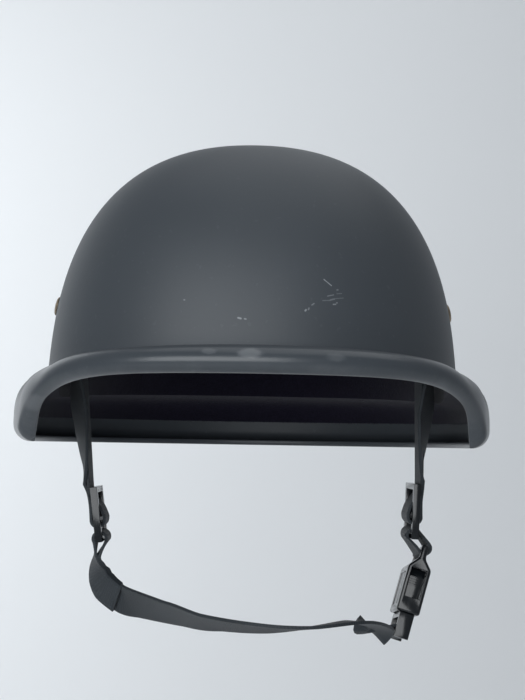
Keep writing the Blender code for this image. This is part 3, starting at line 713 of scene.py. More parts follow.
def angle_setting(name, description, degrees):
    return FloatProperty(name=name, description=description, unit="ROTATION", default=radians(degrees))


def shades(colour, *factors):
    return [tuple(c * factor for c in colour) for factor in factors]


class HelmetLook(bpy.types.PropertyGroup):
    """Colours and wear of the helmet's surfaces."""

    paint: colour_setting("Paint", "Colour of the shell's paint", (0.040, 0.047, 0.055))
    # Lighter paint for the worn lip and its patches, also used for painted highlights and reflections on
    # the lip
    worn_paint: colour_setting("Worn paint", "Colour where the paint is rubbed", (0.16, 0.17, 0.18))
    cloth: colour_setting("Lining", "Colour of the lining cloth", (0.0075, 0.0065, 0.0135))
    webbing: colour_setting("Webbing", "Colour of the straps", (0.019, 0.024, 0.029))
    plastic: colour_setting("Plastic", "Colour of the sliders and buckle", (0.006, 0.0075, 0.009))
    brass: colour_setting("Rivets", "Colour of the rivets' metal", (0.42, 0.34, 0.24))
    # How much lighter the lip's edge is: worn paint, and also a painted highlight along the edge
    edge_wear: FloatProperty(name="Edge wear", description="How far the lip's paint is rubbed",
                             default=0.3, min=0.0, max=1.0, subtype="FACTOR")


class HelmetDetail(bpy.types.PropertyGroup):
    """Sizes of the stitches and fibres, and the softness of edges."""

    stitch_length: length_setting("Stitch length", "Length of one stitch", 2.2 * MM)
    stitch_gap: length_setting("Stitch gap", "Space between two stitches", 0.8 * MM)
    thread: length_setting("Thread", "Radius of the sewing thread", 0.22 * MM)
    fibre_length: length_setting("Fibre length", "Length of the lining's loose fibres", 1.3 * MM)
    fibres: IntProperty(name="Fibres", description="Loose fibres along the lining's hem",
                        default=2600, min=0)
    selvedge: length_setting("Selvedge", "Roundness of the webbing's edges", 0.35 * MM)
    edge: length_setting("Moulded edge", "Roundness of the plastic's edges", 0.5 * MM)


class HelmetStage(bpy.types.PropertyGroup):
    """Camera, backdrop and lights."""

    distance: length_setting("Camera distance", "From the camera to the helmet's middle", 0.606)
    pitch: angle_setting("Camera pitch", "How far the camera looks up", 4.75)
    roll: angle_setting("Camera roll", "How far the camera is turned on its axis", 0.95)
    turn: angle_setting("Camera turn", "How far the camera stands round to the left", 1.09)
    lens: FloatProperty(name="Lens", description="Focal length for a sensor 24 mm high", default=39.19)
    shift: FloatProperty(name="Shift", description="Sideways shift of the picture", default=0.015)
    floor: length_setting("Floor", "Depth of the floor under the rim plane", 0.55)
    key: FloatProperty(name="Window light", description="Power of the light in front", default=15.5)
    top: FloatProperty(name="Ceiling light", description="Power of the light from above", default=4.2)
    wash: FloatProperty(name="Wall light", description="Power of the light on the backdrop", default=6.6)
    world: FloatProperty(name="World light", description="Strength of the even light", default=0.25)


def add_object(name, data):
    made = bpy.data.objects.new(name, data)
    bpy.context.scene.collection.objects.link(made)
    return made


def new_piece(name, mesh, material, smooth_angle):
    """Adds a mesh, given in rim-plane heights, as a finished piece of the helmet in the row frame."""
    mesh.transform(TO_ROW)
    mesh.materials.clear()
    mesh.materials.append(material)
    mesh.shade_smooth()
    mesh.set_sharp_from_angle(angle=radians(smooth_angle))
    piece = add_object(name, mesh)
    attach(piece, ROOT)
    return piece


def evaluated_mesh(guide):
    """The guide's mesh with its modifiers applied; the guide goes."""
    bpy.context.view_layer.update()
    graph = bpy.context.evaluated_depsgraph_get()
    mesh = bpy.data.meshes.new_from_object(guide.evaluated_get(graph), preserve_all_data_layers=True,
                                           depsgraph=graph)
    mesh.transform(guide.matrix_world)
    bpy.data.objects.remove(guide, do_unlink=True)
    return mesh


def add_wall(guide, thickness, offset):
    wall = guide.modifiers.new("wall", "SOLIDIFY")
    wall.thickness = thickness
    wall.offset = offset
    wall.use_even_offset = True
    return wall


def add_bevel(guide, width, segments, angle=40.0):
    rounding = guide.modifiers.new("rounded_edges", "BEVEL")
    rounding.width = width
    rounding.segments = segments
    rounding.limit_method = "ANGLE"
    rounding.angle_limit = radians(angle)
    rounding.harden_normals = False


def fine_section(azimuth):
    quarter = pi / 2
    hem = hem_share(azimuth)
    rows = [dome_point(azimuth, quarter * i / DOME_ROWS) for i in range(1, DOME_ROWS + 1)]
    rows += [hood_point(azimuth, hem * i / HEM_ROWS) for i in range(1, HEM_ROWS + 1)]
    rows += [hood_point(azimuth, hem + (1.0 - hem) * i / LIP_ROWS) for i in range(1, LIP_ROWS + 1)]
    rows += [curl_point(azimuth, quarter * i / CURL_ROWS) for i in range(1, CURL_ROWS + 1)]
    return rows


def outer_grid():
    """The shell's outer surface: a mesh, and the index of each azimuth's first point."""
    columns = [fine_section(a) for a in azimuths()]
    count = len(columns[0])
    points = [Vector((0.0, 0.0, CROWN_HEIGHT))] + [p for column in columns for p in column]
    starts = [1 + i * count for i in range(len(columns))]
    faces = []
    for near, far in zip(starts, starts[1:] + starts[:1]):
        faces.append((0, near, far))
        faces.extend((near + r, near + r + 1, far + r + 1, far + r) for r in range(count - 1))
    mesh = bpy.data.meshes.new("outer_grid")
    mesh.from_pydata(points, [], faces)
    return mesh, starts, count


def layer_points(mesh, depth):
    """Where a wall of that depth ends under each point of the open surface."""
    guide = add_object("wall_guide", mesh.copy())
    add_wall(guide, depth, -1.0).use_rim = False
    thick = evaluated_mesh(guide)
    return [v.co.copy() for v in thick.vertices[len(mesh.vertices):]]


def build_shell(material):
    """The outer surface with a wall inside it. On the outside, "lip" rises towards the brim's edge."""
    mesh, starts, count = outer_grid()
    shares = [0.0] * len(mesh.vertices)
    for start in starts:
        for row in range(count):
            shares[start + row] = smooth_step(row, DOME_ROWS, count - 2)
    mesh.attributes.new("lip", "FLOAT", "POINT").data.foreach_set("value", shares)
    outside = len(mesh.vertices)
    guide = add_object("shell_guide", mesh)
    add_wall(guide, SHELL_WALL, -1.0)
    walled = evaluated_mesh(guide)
    for value in walled.attributes["lip"].data[outside:]:
        value.value = 0.0
    guide = add_object("shell_edges", walled)
    add_bevel(guide, SHELL_EDGE, 3, 60.0)
    shell = new_piece("shell_surface", evaluated_mesh(guide), material, 50.0)
    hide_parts("shell")


def build_lining(material):
    """Padding under the crown that thins to a soft hem. Returns the points along the hem."""
    mesh, starts, _ = outer_grid()
    outer = [v.co.copy() for v in mesh.vertices]
    wall = SHELL_WALL + FIT
    inward = [(p - q) / wall for p, q in zip(layer_points(mesh, wall), outer)]
    last = DOME_ROWS + HEM_ROWS
    depths = {0: PAD_THICKNESS}
    for start in starts:
        for row in range(last):
            share = smooth_step(row + 1, DOME_ROWS * 2 / 3, DOME_ROWS + HEM_ROWS / 2)
            depths[start + row] = PAD_THICKNESS + (HEM_THICKNESS - PAD_THICKNESS) * share
    order = [0] + [start + row for start in starts for row in range(last)]
    number = {index: i for i, index in enumerate(order)}
    points = [outer[i] + inward[i] * wall for i in order]
    points += [outer[i] + inward[i] * (wall + depths[i]) for i in order]
    inner = len(order)
    faces = []
    for near, far in zip(starts, starts[1:] + starts[:1]):
        a, b = number[near], number[far]
        faces.append((0, a, b))
        faces.append((inner, inner + b, inner + a))
        for r in range(last - 1):
            faces.append((a + r, a + r + 1, b + r + 1, b + r))
            faces.append((inner + b + r, inner + b + r + 1, inner + a + r + 1, inner + a + r))
        end = last - 1
        faces.append((a + end, inner + a + end, inner + b + end, b + end))
    lining = bpy.data.meshes.new("lining_cloth")
    lining.from_pydata(points, [], faces)
    lining.validate()
    piece = new_piece("lining_cloth", lining, material, 60.0)
    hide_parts("lining")
    hem = [start + last - 1 for start in starts]
    return [outer[i] + inward[i] * (wall + depths[i] / 2) for i in hem]


def ribbon(name, route, closed=False):
    """A strap's guide: a strip with a weave map, in metres along and across."""
    count = len(route)
    points = []
    lengths = [0.0]
    for i, (centre, width) in enumerate(route):
        before = route[i - 1][0] if closed or i else centre
        after = route[(i + 1) % count][0] if closed or i < count - 1 else centre
        along = (after - before).normalized()
        across = square_to(along, width) * WEB_WIDTH / 2
        points.extend(centre + across * (2 * k / ACROSS_STEPS - 1.0) for k in range(ACROSS_STEPS + 1))
        if i:
            lengths.append(lengths[-1] + (centre - route[i - 1][0]).length)
    if closed:
        lengths.append(lengths[-1] + (route[0][0] - route[-1][0]).length)
    stride = ACROSS_STEPS + 1
    faces = []
    coordinates = []
    for i in range(count if closed else count - 1):
        a, b = i * stride, ((i + 1) % count) * stride
        for k in range(ACROSS_STEPS):
            faces.append((a + k, a + k + 1, b + k + 1, b + k))
            left, right = WEB_WIDTH * k / ACROSS_STEPS, WEB_WIDTH * (k + 1) / ACROSS_STEPS
            low, high = lengths[i], lengths[i + 1]
            coordinates += [low, left, low, right, high, right, high, left]
    mesh = bpy.data.meshes.new(name)
    mesh.from_pydata(points, [], faces)
    mesh.uv_layers.new(name="weave").data.foreach_set("uv", coordinates)
    return mesh


def build_strap(name, route, node, material, closed=False):
    detail = bpy.context.scene.helmet_detail
    guide = add_object(name + "_guide", ribbon(name, route, closed))
    add_wall(guide, WEB_THICKNESS, 0.0).use_even_offset = False
    add_bevel(guide, detail.selvedge, 2, 60.0)
    strap = new_piece(name, evaluated_mesh(guide), material, 50.0)
    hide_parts(node)


class PointGroup:
    """A node group that stands one shape on each point of its geometry, built through its node method."""

    def __init__(self, name, inputs):
        self.tree = bpy.data.node_groups.new(name, "GeometryNodeTree")
        sockets = self.tree.interface
        for key, kind in {"Geometry": "Geometry", **inputs, "Material": "Material"}.items():
            sockets.new_socket(key, in_out="INPUT", socket_type="NodeSocket" + kind)
        sockets.new_socket("Geometry", in_out="OUTPUT", socket_type="NodeSocketGeometry")
        self.given = self.node("NodeGroupInput")

    def node(self, kind, settings=None, sockets=None):
        made = self.tree.nodes.new(kind)
        for key, value in (settings or {}).items():
            setattr(made, key, value)
        for key, value in (sockets or {}).items():
            if isinstance(value, bpy.types.NodeSocket):
                self.tree.links.new(value, made.inputs[key])
            else:
                made.inputs[key].default_value = value
        return made.outputs

    def run(self):
        """The run direction that each point carries."""
        settings = {"data_type": "FLOAT_VECTOR"}
        return self.node("GeometryNodeInputNamedAttribute", settings, {"Name": "run"})["Attribute"]

    def finish(self, shape, rotation, scale):
        sockets = {"Points": self.given["Geometry"], "Instance": shape}
        sockets |= {"Rotation": rotation, "Scale": scale}
        put = self.node("GeometryNodeInstanceOnPoints", None, sockets)
        real = self.node("GeometryNodeRealizeInstances", None, {"Geometry": put["Instances"]})
        sockets = {"Geometry": real["Geometry"], "Material": self.given["Material"]}
        paint = self.node("GeometryNodeSetMaterial", None, sockets)
        self.node("NodeGroupOutput", None, {"Geometry": paint["Geometry"]})
        return self.tree


def stitch_group():
    """Lays one stitch on each point, turned along the point's run direction."""
    group = PointGroup("stitch_row", {"Length": "Float", "Thread radius": "Float"})
    ball = group.node("GeometryNodeMeshUVSphere", None, {"Segments": 8, "Rings": 6, "Radius": 1.0})
    half = group.node("ShaderNodeMath", {"operation": "MULTIPLY"}, {0: group.given["Length"], 1: 0.5})
    sockets = {"X": half[0], "Y": group.given["Thread radius"], "Z": group.given["Thread radius"]}
    size = group.node("ShaderNodeCombineXYZ", None, sockets)
    turn = group.node("FunctionNodeAlignRotationToVector", {"axis": "X"}, {"Vector": group.run()})
    return group.finish(ball["Mesh"], turn["Rotation"], size["Vector"])


def fibre_group():
    """Stands a short tapered fibre on each point, leaning at random round the point's run direction."""
    group = PointGroup("loose_fibres", {"Length": "Float", "Seed": "Int"})
    sockets = {"Vertices": 3, "Radius Bottom": 0.07, "Radius Top": 0.0, "Depth": 1.0}
    cone = group.node("GeometryNodeMeshCone", None, sockets)
    sockets = {"Min": (-0.9, -0.9, -0.9), "Max": (0.9, 0.9, 0.9), "Seed": group.given["Seed"]}
    scatter = group.node("FunctionNodeRandomValue", {"data_type": "FLOAT_VECTOR"}, sockets)
    lean = group.node("ShaderNodeVectorMath", {"operation": "ADD"}, {0: group.run(), 1: scatter[0]})
    turn = group.node("FunctionNodeAlignRotationToVector", {"axis": "Z"}, {"Vector": lean["Vector"]})
    sockets = {2: 0.4, 3: 1.0, "Seed": group.given["Seed"]}
    share = group.node("FunctionNodeRandomValue", {"data_type": "FLOAT"}, sockets)
    sockets = {0: share[1], 1: group.given["Length"]}
    size = group.node("ShaderNodeMath", {"operation": "MULTIPLY"}, sockets)
    return group.finish(cone["Mesh"], turn["Rotation"], size[0])


def from_points(name, rows, group, inputs, material):
    """Runs a node group on rows of (place, run direction) and keeps the result as a plain mesh piece."""
    mesh = bpy.data.meshes.new(name)
    mesh.from_pydata([place for place, run in rows], [], [])
    runs = mesh.attributes.new("run", "FLOAT_VECTOR", "POINT")
    runs.data.foreach_set("vector", [value for place, run in rows for value in run])
    guide = add_object(name + "_guide", mesh)
    nodes = guide.modifiers.new("nodes", "NODES")
    nodes.node_group = group
    inlets = [item for item in group.interface.items_tree if item.in_out == "INPUT"]
    sockets = {item.name: item.identifier for item in inlets}
    for key, value in {**inputs, "Material": material}.items():
        nodes[sockets[key]] = value
    made = evaluated_mesh(guide)
    if not made.polygons:
        raise RuntimeError(name + ": the node group made nothing")
    return new_piece(name, made, material, 60.0)


def strap_place(route, lengths, distance, side, across_share):
    """A point on a strap's face, and its run direction. side is 1 or -1, across_share runs from -1 to 1."""
    i = max(k for k in range(len(lengths) - 1) if lengths[k] <= max(distance, 0.0))
    share = (distance - lengths[i]) / (lengths[i + 1] - lengths[i])
    centre = route[i][0].lerp(route[i + 1][0], share)
    along = (route[i + 1][0] - route[i][0]).normalized()
    width = route[i][1].lerp(route[i + 1][1], share)
    across = square_to(along, width)
    normal = along.cross(across)
    point = centre + across * across_share * WEB_WIDTH / 2 + normal * side * (WEB_THICKNESS / 2)
    return point, along, across


def route_lengths(route):
    lengths = [0.0]
    for (a, _), (b, _) in zip(route, route[1:]):
        lengths.append(lengths[-1] + (b - a).length)
    return lengths


def stitch_line(route, start, end, side, across_share):
    """Stitches along a strap, between two distances from its start."""
    detail = bpy.context.scene.helmet_detail
    lengths = route_lengths(route)
    pitch = detail.stitch_length + detail.stitch_gap
    rows = []
    place = start + detail.stitch_length / 2
    while place + detail.stitch_length / 2 <= end:
        point, along, _ = strap_place(route, lengths, place, side, across_share)
        rows.append((point, along))
        place += pitch
    return rows


def stitch_bar(route, distance, side):
    """Stitches straight across a strap."""
    detail = bpy.context.scene.helmet_detail
    lengths = route_lengths(route)
    pitch = (detail.stitch_length + detail.stitch_gap) / (WEB_WIDTH / 2)
    steps = int(2 * STITCH_REACH / pitch)
    rows = []
    for k in range(steps + 1):
        share = (k - steps / 2) * pitch
        point, _, across = strap_place(route, lengths, distance, side, share)
        rows.append((point, across))
    return rows


def build_rivet(name, place, material):
    """Turned head with a soft dome and a fine rim, shank and clenched tail."""
    tail = -(through_depth() + FIT)
    outline = [(RIVET_HEAD_RISE * cos(a) + FIT * (1 - cos(a)), RIVET_HEAD_RADIUS * sin(a) ** 0.9)
               for a in (pi / 2 * i / 12 for i in range(13))]
    outline += [
        (FIT * 0.6, RIVET_HEAD_RADIUS * 0.98),
        (FIT * 0.5, RIVET_SHANK_RADIUS),
        (tail, RIVET_SHANK_RADIUS),
        (tail, RIVET_TAIL_RADIUS),
        (tail - RIVET_TAIL_THICKNESS * 0.7, RIVET_TAIL_RADIUS * 0.97),
        (tail - RIVET_TAIL_THICKNESS, RIVET_TAIL_RADIUS * 0.85),
        (tail - RIVET_TAIL_THICKNESS, RIVET_TAIL_RADIUS * 0.35),
        (tail - RIVET_TAIL_THICKNESS * 0.5, RIVET_TAIL_RADIUS * 0.22),
        (tail - RIVET_TAIL_THICKNESS * 0.5, 0.0),
    ]
    profile = bpy.data.meshes.new(name)
    edges = [(i, i + 1) for i in range(len(outline) - 1)]
    profile.from_pydata([(radius, 0.0, x) for x, radius in outline], edges, [])
    guide = add_object(name + "_guide", profile)
    turn = guide.modifiers.new("turned", "SCREW")
    turn.steps = RIVET_STEPS
    turn.render_steps = RIVET_STEPS
    turn.use_merge_vertices = True
    turn.merge_threshold = 0.01 * MM
    turn.use_normal_calculate = True
    guide.matrix_world = place @ Matrix.Rotation(pi / 2, 4, "Y")
    rivet = new_piece(name + "_turned", evaluated_mesh(guide), material, 40.0)
    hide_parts(name)


def box_guide(name, low, high):
    mesh = bmesh.new()
    bmesh.ops.create_cube(mesh, size=1.0)
    bmesh.ops.scale(mesh, vec=Vector(high) - Vector(low), verts=mesh.verts)
    bmesh.ops.translate(mesh, vec=(Vector(high) + Vector(low)) / 2, verts=mesh.verts)
    data = bpy.data.meshes.new(name)
    mesh.to_mesh(data)
    mesh.free()
    return add_object(name, data)


def cut_boxes(guide, boxes):
    """Cuts boxes out of a guide and returns the cutters, to be removed after the guide's mesh is taken."""
    cutters = []
    for name, (low, high) in boxes.items():
        cutter = box_guide(guide.name + "_" + name, low, high)
        removal = guide.modifiers.new("cut_" + name, "BOOLEAN")
        removal.operation = "DIFFERENCE"
        removal.object = cutter
        cutters.append(cutter)
    return cutters


def keep_moulding(guide, cutters, place, name, material, node):
    mesh = evaluated_mesh(guide)
    for cutter in cutters:
        bpy.data.objects.remove(cutter, do_unlink=True)
    mesh.transform(place)
    moulding = new_piece(name, mesh, material, 40.0)
    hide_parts(node)


def middle_box(x, y, low, high):
    """Opposite corners of a box that is centred on local Z."""
    return (-x, -y, low), (x, y, high)


def build_slider(name, material):
    """A moulded frame with a wide upper slot, a narrow lower slot and grip ribs on its upper bar."""
    detail = bpy.context.scene.helmet_detail
    half_width, half = SLIDER_WIDTH / 2, SLIDER_THICKNESS / 2
    guide = box_guide(name + "_guide", *middle_box(half, half_width, -SLIDER_HEIGHT, 0.0))
    bars = slider_bars()
    inner = half_width - SLIDER_RAIL
    boxes = {}
    for slot_name, above, below in (("upper", "top", "middle"), ("lower", "middle", "bottom")):
        top, bottom = bars[above] - SLIDER_BAR / 2, bars[below] + SLIDER_BAR / 2
        boxes[slot_name] = middle_box(SLIDER_THICKNESS, inner, bottom, top)
    for i in (-1, 0, 1):
        z = bars["top"] + i * RIB_PITCH
        boxes["rib" + str(i)] = ((half - RIB_DEPTH, -inner, z - RIB_HALF), (half * 2, inner, z + RIB_HALF))
    cutters = cut_boxes(guide, boxes)
    add_bevel(guide, detail.edge * 0.9, 3)
    keep_moulding(guide, cutters, hanging_frame(name), name + "_moulding", material, name)


def outline_guide(name, outline, thickness, turn):
    """A solid from a flat outline in the YZ plane."""
    mesh = bmesh.new()
    near = [mesh.verts.new((-thickness / 2, y, z)) for y, z in outline]
    face = mesh.faces.new(near)
    made = bmesh.ops.extrude_face_region(mesh, geom=[face])
    moved = [v for v in made["geom"] if isinstance(v, bmesh.types.BMVert)]
    bmesh.ops.translate(mesh, vec=(thickness, 0.0, 0.0), verts=moved)
    bmesh.ops.recalc_face_normals(mesh, faces=mesh.faces)
    bmesh.ops.transform(mesh, matrix=turn, verts=mesh.verts)
    data = bpy.data.meshes.new(name)
    mesh.to_mesh(data)
    mesh.free()
    return add_object(name, data)


def build_buckle_body(material):
    """The socket half, with a stepped shoulder, side windows and a shallow panel on each broad face."""
    detail = bpy.context.scene.helmet_detail
    half = Vector((BUCKLE_THICKNESS, BUCKLE_WIDTH, 0.0)) / 2
    neck = BUCKLE_NECK_THICKNESS / 2
    neck_end = -(BUCKLE_BAR + BUCKLE_SLOT)
    mouth_top = neck_end - BUCKLE_SHOULDER
    side = [(neck, 0.0), (neck, neck_end), (half.x, mouth_top), (half.x, -BUCKLE_LENGTH)]
    outline = side + [(-x, z) for x, z in reversed(side)]
    turn = Matrix.Rotation(pi / 2, 4, "Z")
    guide = outline_guide("buckle_body_guide", outline, BUCKLE_WIDTH, turn)
    add_bevel(guide, BUCKLE_CORNER, 4)
    inner = half - Vector((BUCKLE_WALL, BUCKLE_WALL, 0.0))
    slot_half = WEB_WIDTH / 2 + FIT * 2
    window_top = mouth_top - WINDOW_START
    boxes = {
        "mouth": middle_box(inner.x, inner.y, -BUCKLE_LENGTH * 1.1, mouth_top),
        "window": middle_box(inner.x, half.y * 1.2, window_top - WINDOW_LENGTH, window_top),
        "strap_slot": middle_box(half.x * 1.2, slot_half, neck_end, -BUCKLE_BAR),
    }
    for name, face in (("outer_panel", 1), ("inner_panel", -1)):
        near, far = sorted((face * (half.x - PANEL_DEPTH), face * half.x * 2))
        low, high = -BUCKLE_LENGTH * 0.9, mouth_top - PANEL_MARGIN
        boxes[name] = ((near, -inner.y * 0.7, low), (far, inner.y * 0.7, high))
    cutters = cut_boxes(guide, boxes)
    add_bevel(guide, detail.edge * 0.4, 2)
    place = hanging_frame("buckle")
    keep_moulding(guide, cutters, place, "buckle_body_moulding", material, "buckle_body")


def build_buckle_clip(material):
    """The plug half: a base with a strap bar, two sprung arms with grip ribs and a middle tongue."""
    detail = bpy.context.scene.helmet_detail
    base = CLIP_BASE_WIDTH / 2
    inside = BUCKLE_WIDTH / 2 - BUCKLE_WALL - BUCKLE_PLAY
    reach = BUCKLE_LENGTH - (BUCKLE_BAR + BUCKLE_SLOT + BUCKLE_SHOULDER) - BUCKLE_PLAY
    arm = CLIP_ARM_THICKNESS
    tongue = CLIP_TONGUE_WIDTH / 2
    half = [
        (base, -CLIP_BASE_LENGTH),
        (base, -BUCKLE_PLAY),
        (inside - CLIP_ARM_SPRING, -BUCKLE_PLAY),
        (inside - CLIP_ARM_SPRING, reach * 0.45),
        (inside, reach * 0.6),
        (inside, reach * 0.8),
        (inside - arm, reach),
        (inside - CLIP_ARM_SPRING - arm, reach * 0.8),
        (inside - CLIP_ARM_SPRING - arm, BUCKLE_PLAY * 2),
        (tongue, BUCKLE_PLAY * 2),
        (tongue, reach * 0.9),
    ]
    thickness = BUCKLE_THICKNESS - 2 * (BUCKLE_WALL + BUCKLE_PLAY)
    outline = half + [(-y, z) for y, z in reversed(half)]
    guide = outline_guide("buckle_clip_guide", outline, thickness, Matrix.Identity(4))
    slot_half = WEB_WIDTH / 2 + FIT * 2
    bar_low = -CLIP_BASE_LENGTH + CLIP_BAR_RISE
    bar_high = bar_low + BUCKLE_BAR
    bar_half = BUCKLE_NECK_THICKNESS / 2
    boxes = {
        "slot": middle_box(thickness, slot_half, bar_high, bar_high + BUCKLE_SLOT),
        "underside": middle_box(thickness, slot_half, bar_low - CLIP_BASE_LENGTH, bar_low),
        "inner_relief": ((-thickness, -slot_half, bar_low - FIT), (-bar_half, slot_half, bar_high + FIT)),
        "outer_relief": ((bar_half, -slot_half, bar_low - FIT), (thickness, slot_half, bar_high + FIT)),
    }
    for end in (-1, 1):
        for i in range(GRIP_COUNT):
            z = reach * (0.5 + 0.05 * i)
            near, far = sorted((end * (inside - GRIP_DEPTH), end * (inside + MM)))
            boxes["grip" + str(end) + str(i)] = ((-thickness, near, z), (thickness, far, z + GRIP_WIDTH))
    cutters = cut_boxes(guide, boxes)
    add_bevel(guide, detail.edge * 0.6, 2)
    keep_moulding(guide, cutters, clip_frame(), "buckle_clip_moulding", material, "buckle_clip")


def paint_material():
    """Matt paint with a fine orange peel, a shinier brim, dust, scratches, and a lighter lip edge and
    lighter patches on the lip that are partly worn paint and partly painted highlights.
    """
    look = Look("matt_paint")
    place = look.place()
    x, y, z = look.axes(place)
    cloud = look.noise(place, 14.0, 4.0, 0.6)
    grain = look.noise(place, 900.0, 3.0, 0.6)
    speck = look.noise(place, 420.0, 1.0, 0.4)
    brim = look.attribute("lip")
    lip = brim.ramp(0.7, 1.0)
    gloss = brim.ramp(0.15, 0.5)
    marks = look.node("ShaderNodeValue")
    marks.socket.default_value = 0.0
    for x1, z1, x2, z2, half, strength in SCRATCHES:
        dx, dz = (x2 - x1) * MM, (z2 - z1) * MM
        px, pz = x - x1 * MM, z - (z1 * MM - HEAD_SEAT_HEIGHT)
        along = ((px * dx + pz * dz) / (dx * dx + dz * dz)).most(0.0).least(1.0)
        off = ((px - along * dx) ** 2.0 + (pz - along * dz) ** 2.0) ** 0.5
        ragged = off + (grain - 0.5) * (0.3 * MM)
        marks = marks.most(ragged.ramp(half * MM * 1.5, half * MM * 0.5) * strength)
    marks = marks * (0.0 - y).above(0.0)
    # Lighter paint along the lip's edge: worn paint, and also a painted highlight along the edge
    rubbed_and_highlit = lip * look.noise(place, 60.0, 5.0, 0.7).ramp(0.42, 0.72) * look.colours.edge_wear
    ragged_edge = look.noise(place, 220.0, 4.0, 0.7)
    # Lighter patches on the lip: partly worn paint, partly painted highlights and reflections on the roll
    for px, py, pz, radius, strength in WEAR_AND_HIGHLIGHT_PATCHES:
        dx, dy = x - px * MM, y - py * MM
        dz = (z - (pz * MM - HEAD_SEAT_HEIGHT)) * PATCH_FLATNESS
        away = (dx ** 2.0 + dy ** 2.0 + dz ** 2.0) ** 0.5 + (ragged_edge - 0.5) * (4 * MM)
        rubbed_and_highlit = rubbed_and_highlit.most(away.ramp(radius * MM, radius * MM * 0.5) * strength)
    dust = speck.ramp(0.70, 0.76) * 0.03
    base = look.mix(cloud.ramp(0.3, 0.75) * 0.35, *shades(look.colours.paint, 1.0, 1.25))
    base = look.mix(rubbed_and_highlit * 0.6, base, tuple(look.colours.worn_paint))
    base = look.mix((marks + dust).least(1.0), base, (0.32, 0.34, 0.36))
    peel = look.noise(place, 520.0, 2.0, 0.5) * 0.6 + look.noise(place, 1700.0, 2.0, 0.5) * 0.4
    return look.finish(
        base_color=base,
        roughness=0.47 + cloud * 0.08 - gloss * 0.22 - marks * 0.05,
        normal=look.bump(peel - marks * 0.5, 0.12, 0.4 * MM),
    )


def cloth_material():
    """Brushed dark cloth: deep fuzz over soft lumps."""
    look = Look("lining_cloth_brushed")
    place = look.place()
    fuzz = look.noise(place, 900.0, 4.0, 0.7)
    lumps = look.noise(place, 70.0, 3.0, 0.6)
    base = look.mix(fuzz.ramp(0.3, 0.8) * 0.6, *shades(look.colours.cloth, 1.0, 2.4))
    return look.finish(
        base_color=base,
        sheen_weight=0.12,
        sheen_roughness=0.5,
        specular_ior_level=0.1,
        roughness=0.9 + lumps * 0.1,
        normal=look.bump(fuzz * 0.7 + lumps * 0.6, 0.8, 0.8 * MM),
    )


def webbing_material():
    """Woven tape: ribs across, fine warp threads along, denser selvedges and slight fading."""
    look = Look("webbing")
    weave = look.node("ShaderNodeUVMap", {"uv_map": "weave"})
    along, across, _ = look.axes(weave)
    turn = 2 * pi
    rib = (along * (turn / (1.3 * MM)) + (across * (turn / (1.5 * MM))).sine() * 0.9).sine()
    warp = (across * (turn / (0.75 * MM))).sine()
    edge = (across / WEB_WIDTH - 0.5).size().ramp(0.40, 0.46)
    place = look.place()
    fade = look.noise(place, 45.0, 4.0, 0.65)
    lint = look.noise(place, 1600.0, 3.0, 0.7)
    height = rib * 0.5 + warp * 0.3 + lint * 0.3 - edge * 0.2
    shade = (rib * 0.25 + 0.5) * 0.6 + fade.ramp(0.3, 0.8) * 0.4
    base = look.mix(shade, *shades(look.colours.webbing, 0.72, 1.45))
    return look.finish(
        base_color=base,
        sheen_weight=0.05,
        specular_ior_level=0.35,
        roughness=0.55 + lint * 0.15,
        normal=look.bump(height, 0.5, 0.25 * MM),
    )


def thread_material():
    look = Look("sewing_thread")
    twist = look.noise(look.place(), 2500.0, 2.0, 0.5)
    base = look.mix(twist, *shades(look.colours.webbing, 1.2, 2.6))
    return look.finish(base_color=base, roughness=0.6 + twist * 0.1)


def plastic_material():
    """Moulded plastic with a soft shine and handling marks."""
    look = Look("moulded_plastic")
    place = look.place()
    rub = look.noise(look.stretched(place, (300.0, 300.0, 40.0)), 1.0, 4.0, 0.7)
    fine = look.noise(place, 1200.0, 3.0, 0.6)
    base = look.mix(rub.ramp(0.55, 0.8) * 0.5, *shades(look.colours.plastic, 1.0, 3.0))
    return look.finish(
        base_color=base,
        roughness=0.13 + rub.ramp(0.4, 0.8) * 0.14,
        normal=look.bump(fine, 0.06, 0.2 * MM),
    )


def rivet_material():
    """Dulled brass with tarnish."""
    look = Look("dull_brass")
    place = look.place()
    tarnish = look.noise(place, 260.0, 5.0, 0.7).ramp(0.35, 0.7)
    base = look.mix(tarnish * 0.75, tuple(look.colours.brass), (0.075, 0.062, 0.05))
    return look.finish(
        base_color=base,
        metallic=1.0 - tarnish * 0.3,
        roughness=0.3 + tarnish * 0.25,
        normal=look.bump(look.noise(place, 900.0, 3.0, 0.6), 0.15, 0.2 * MM),
    )


def stage_material(name, colour, roughness=0.9):
    look = Look(name)
    tint = look.noise(look.place(), 1.5, 2.0, 0.5)
    base = look.mix(tint * 0.3, *shades(colour, 1.0, 0.96))
    return look.finish(base_color=base, roughness=roughness)


class HELMET_OT_shell(bpy.types.Operator):
    """Builds the shell with its hooded brim"""

    bl_idname = "helmet.shell"
    bl_label = "Shell"

    def execute(self, context):
        build_shell(paint_material())
        return {"FINISHED"}


class HELMET_OT_lining(bpy.types.Operator):
    """Builds the padded lining and its loose fibres"""

    bl_idname = "helmet.lining"
    bl_label = "Lining"

    def execute(self, context):
        detail = context.scene.helmet_detail
        cloth = cloth_material()
        hem = build_lining(cloth)
        count = len(hem)
        chance = np.random.default_rng(7)
        rows = []
        for _ in range(detail.fibres):
            i = int(chance.integers(count))
            place = hem[i].lerp(hem[(i + 1) % count], float(chance.random()))
            out = Vector((place.x, place.y, 0.0)).normalized()
            rows.append((place, Vector((0.0, 0.0, -1.0)) - out * 0.3))
        inputs = {"Length": detail.fibre_length, "Seed": 5}
        from_points("lining_fibres", rows, fibre_group(), inputs, cloth)
        return {"FINISHED"}


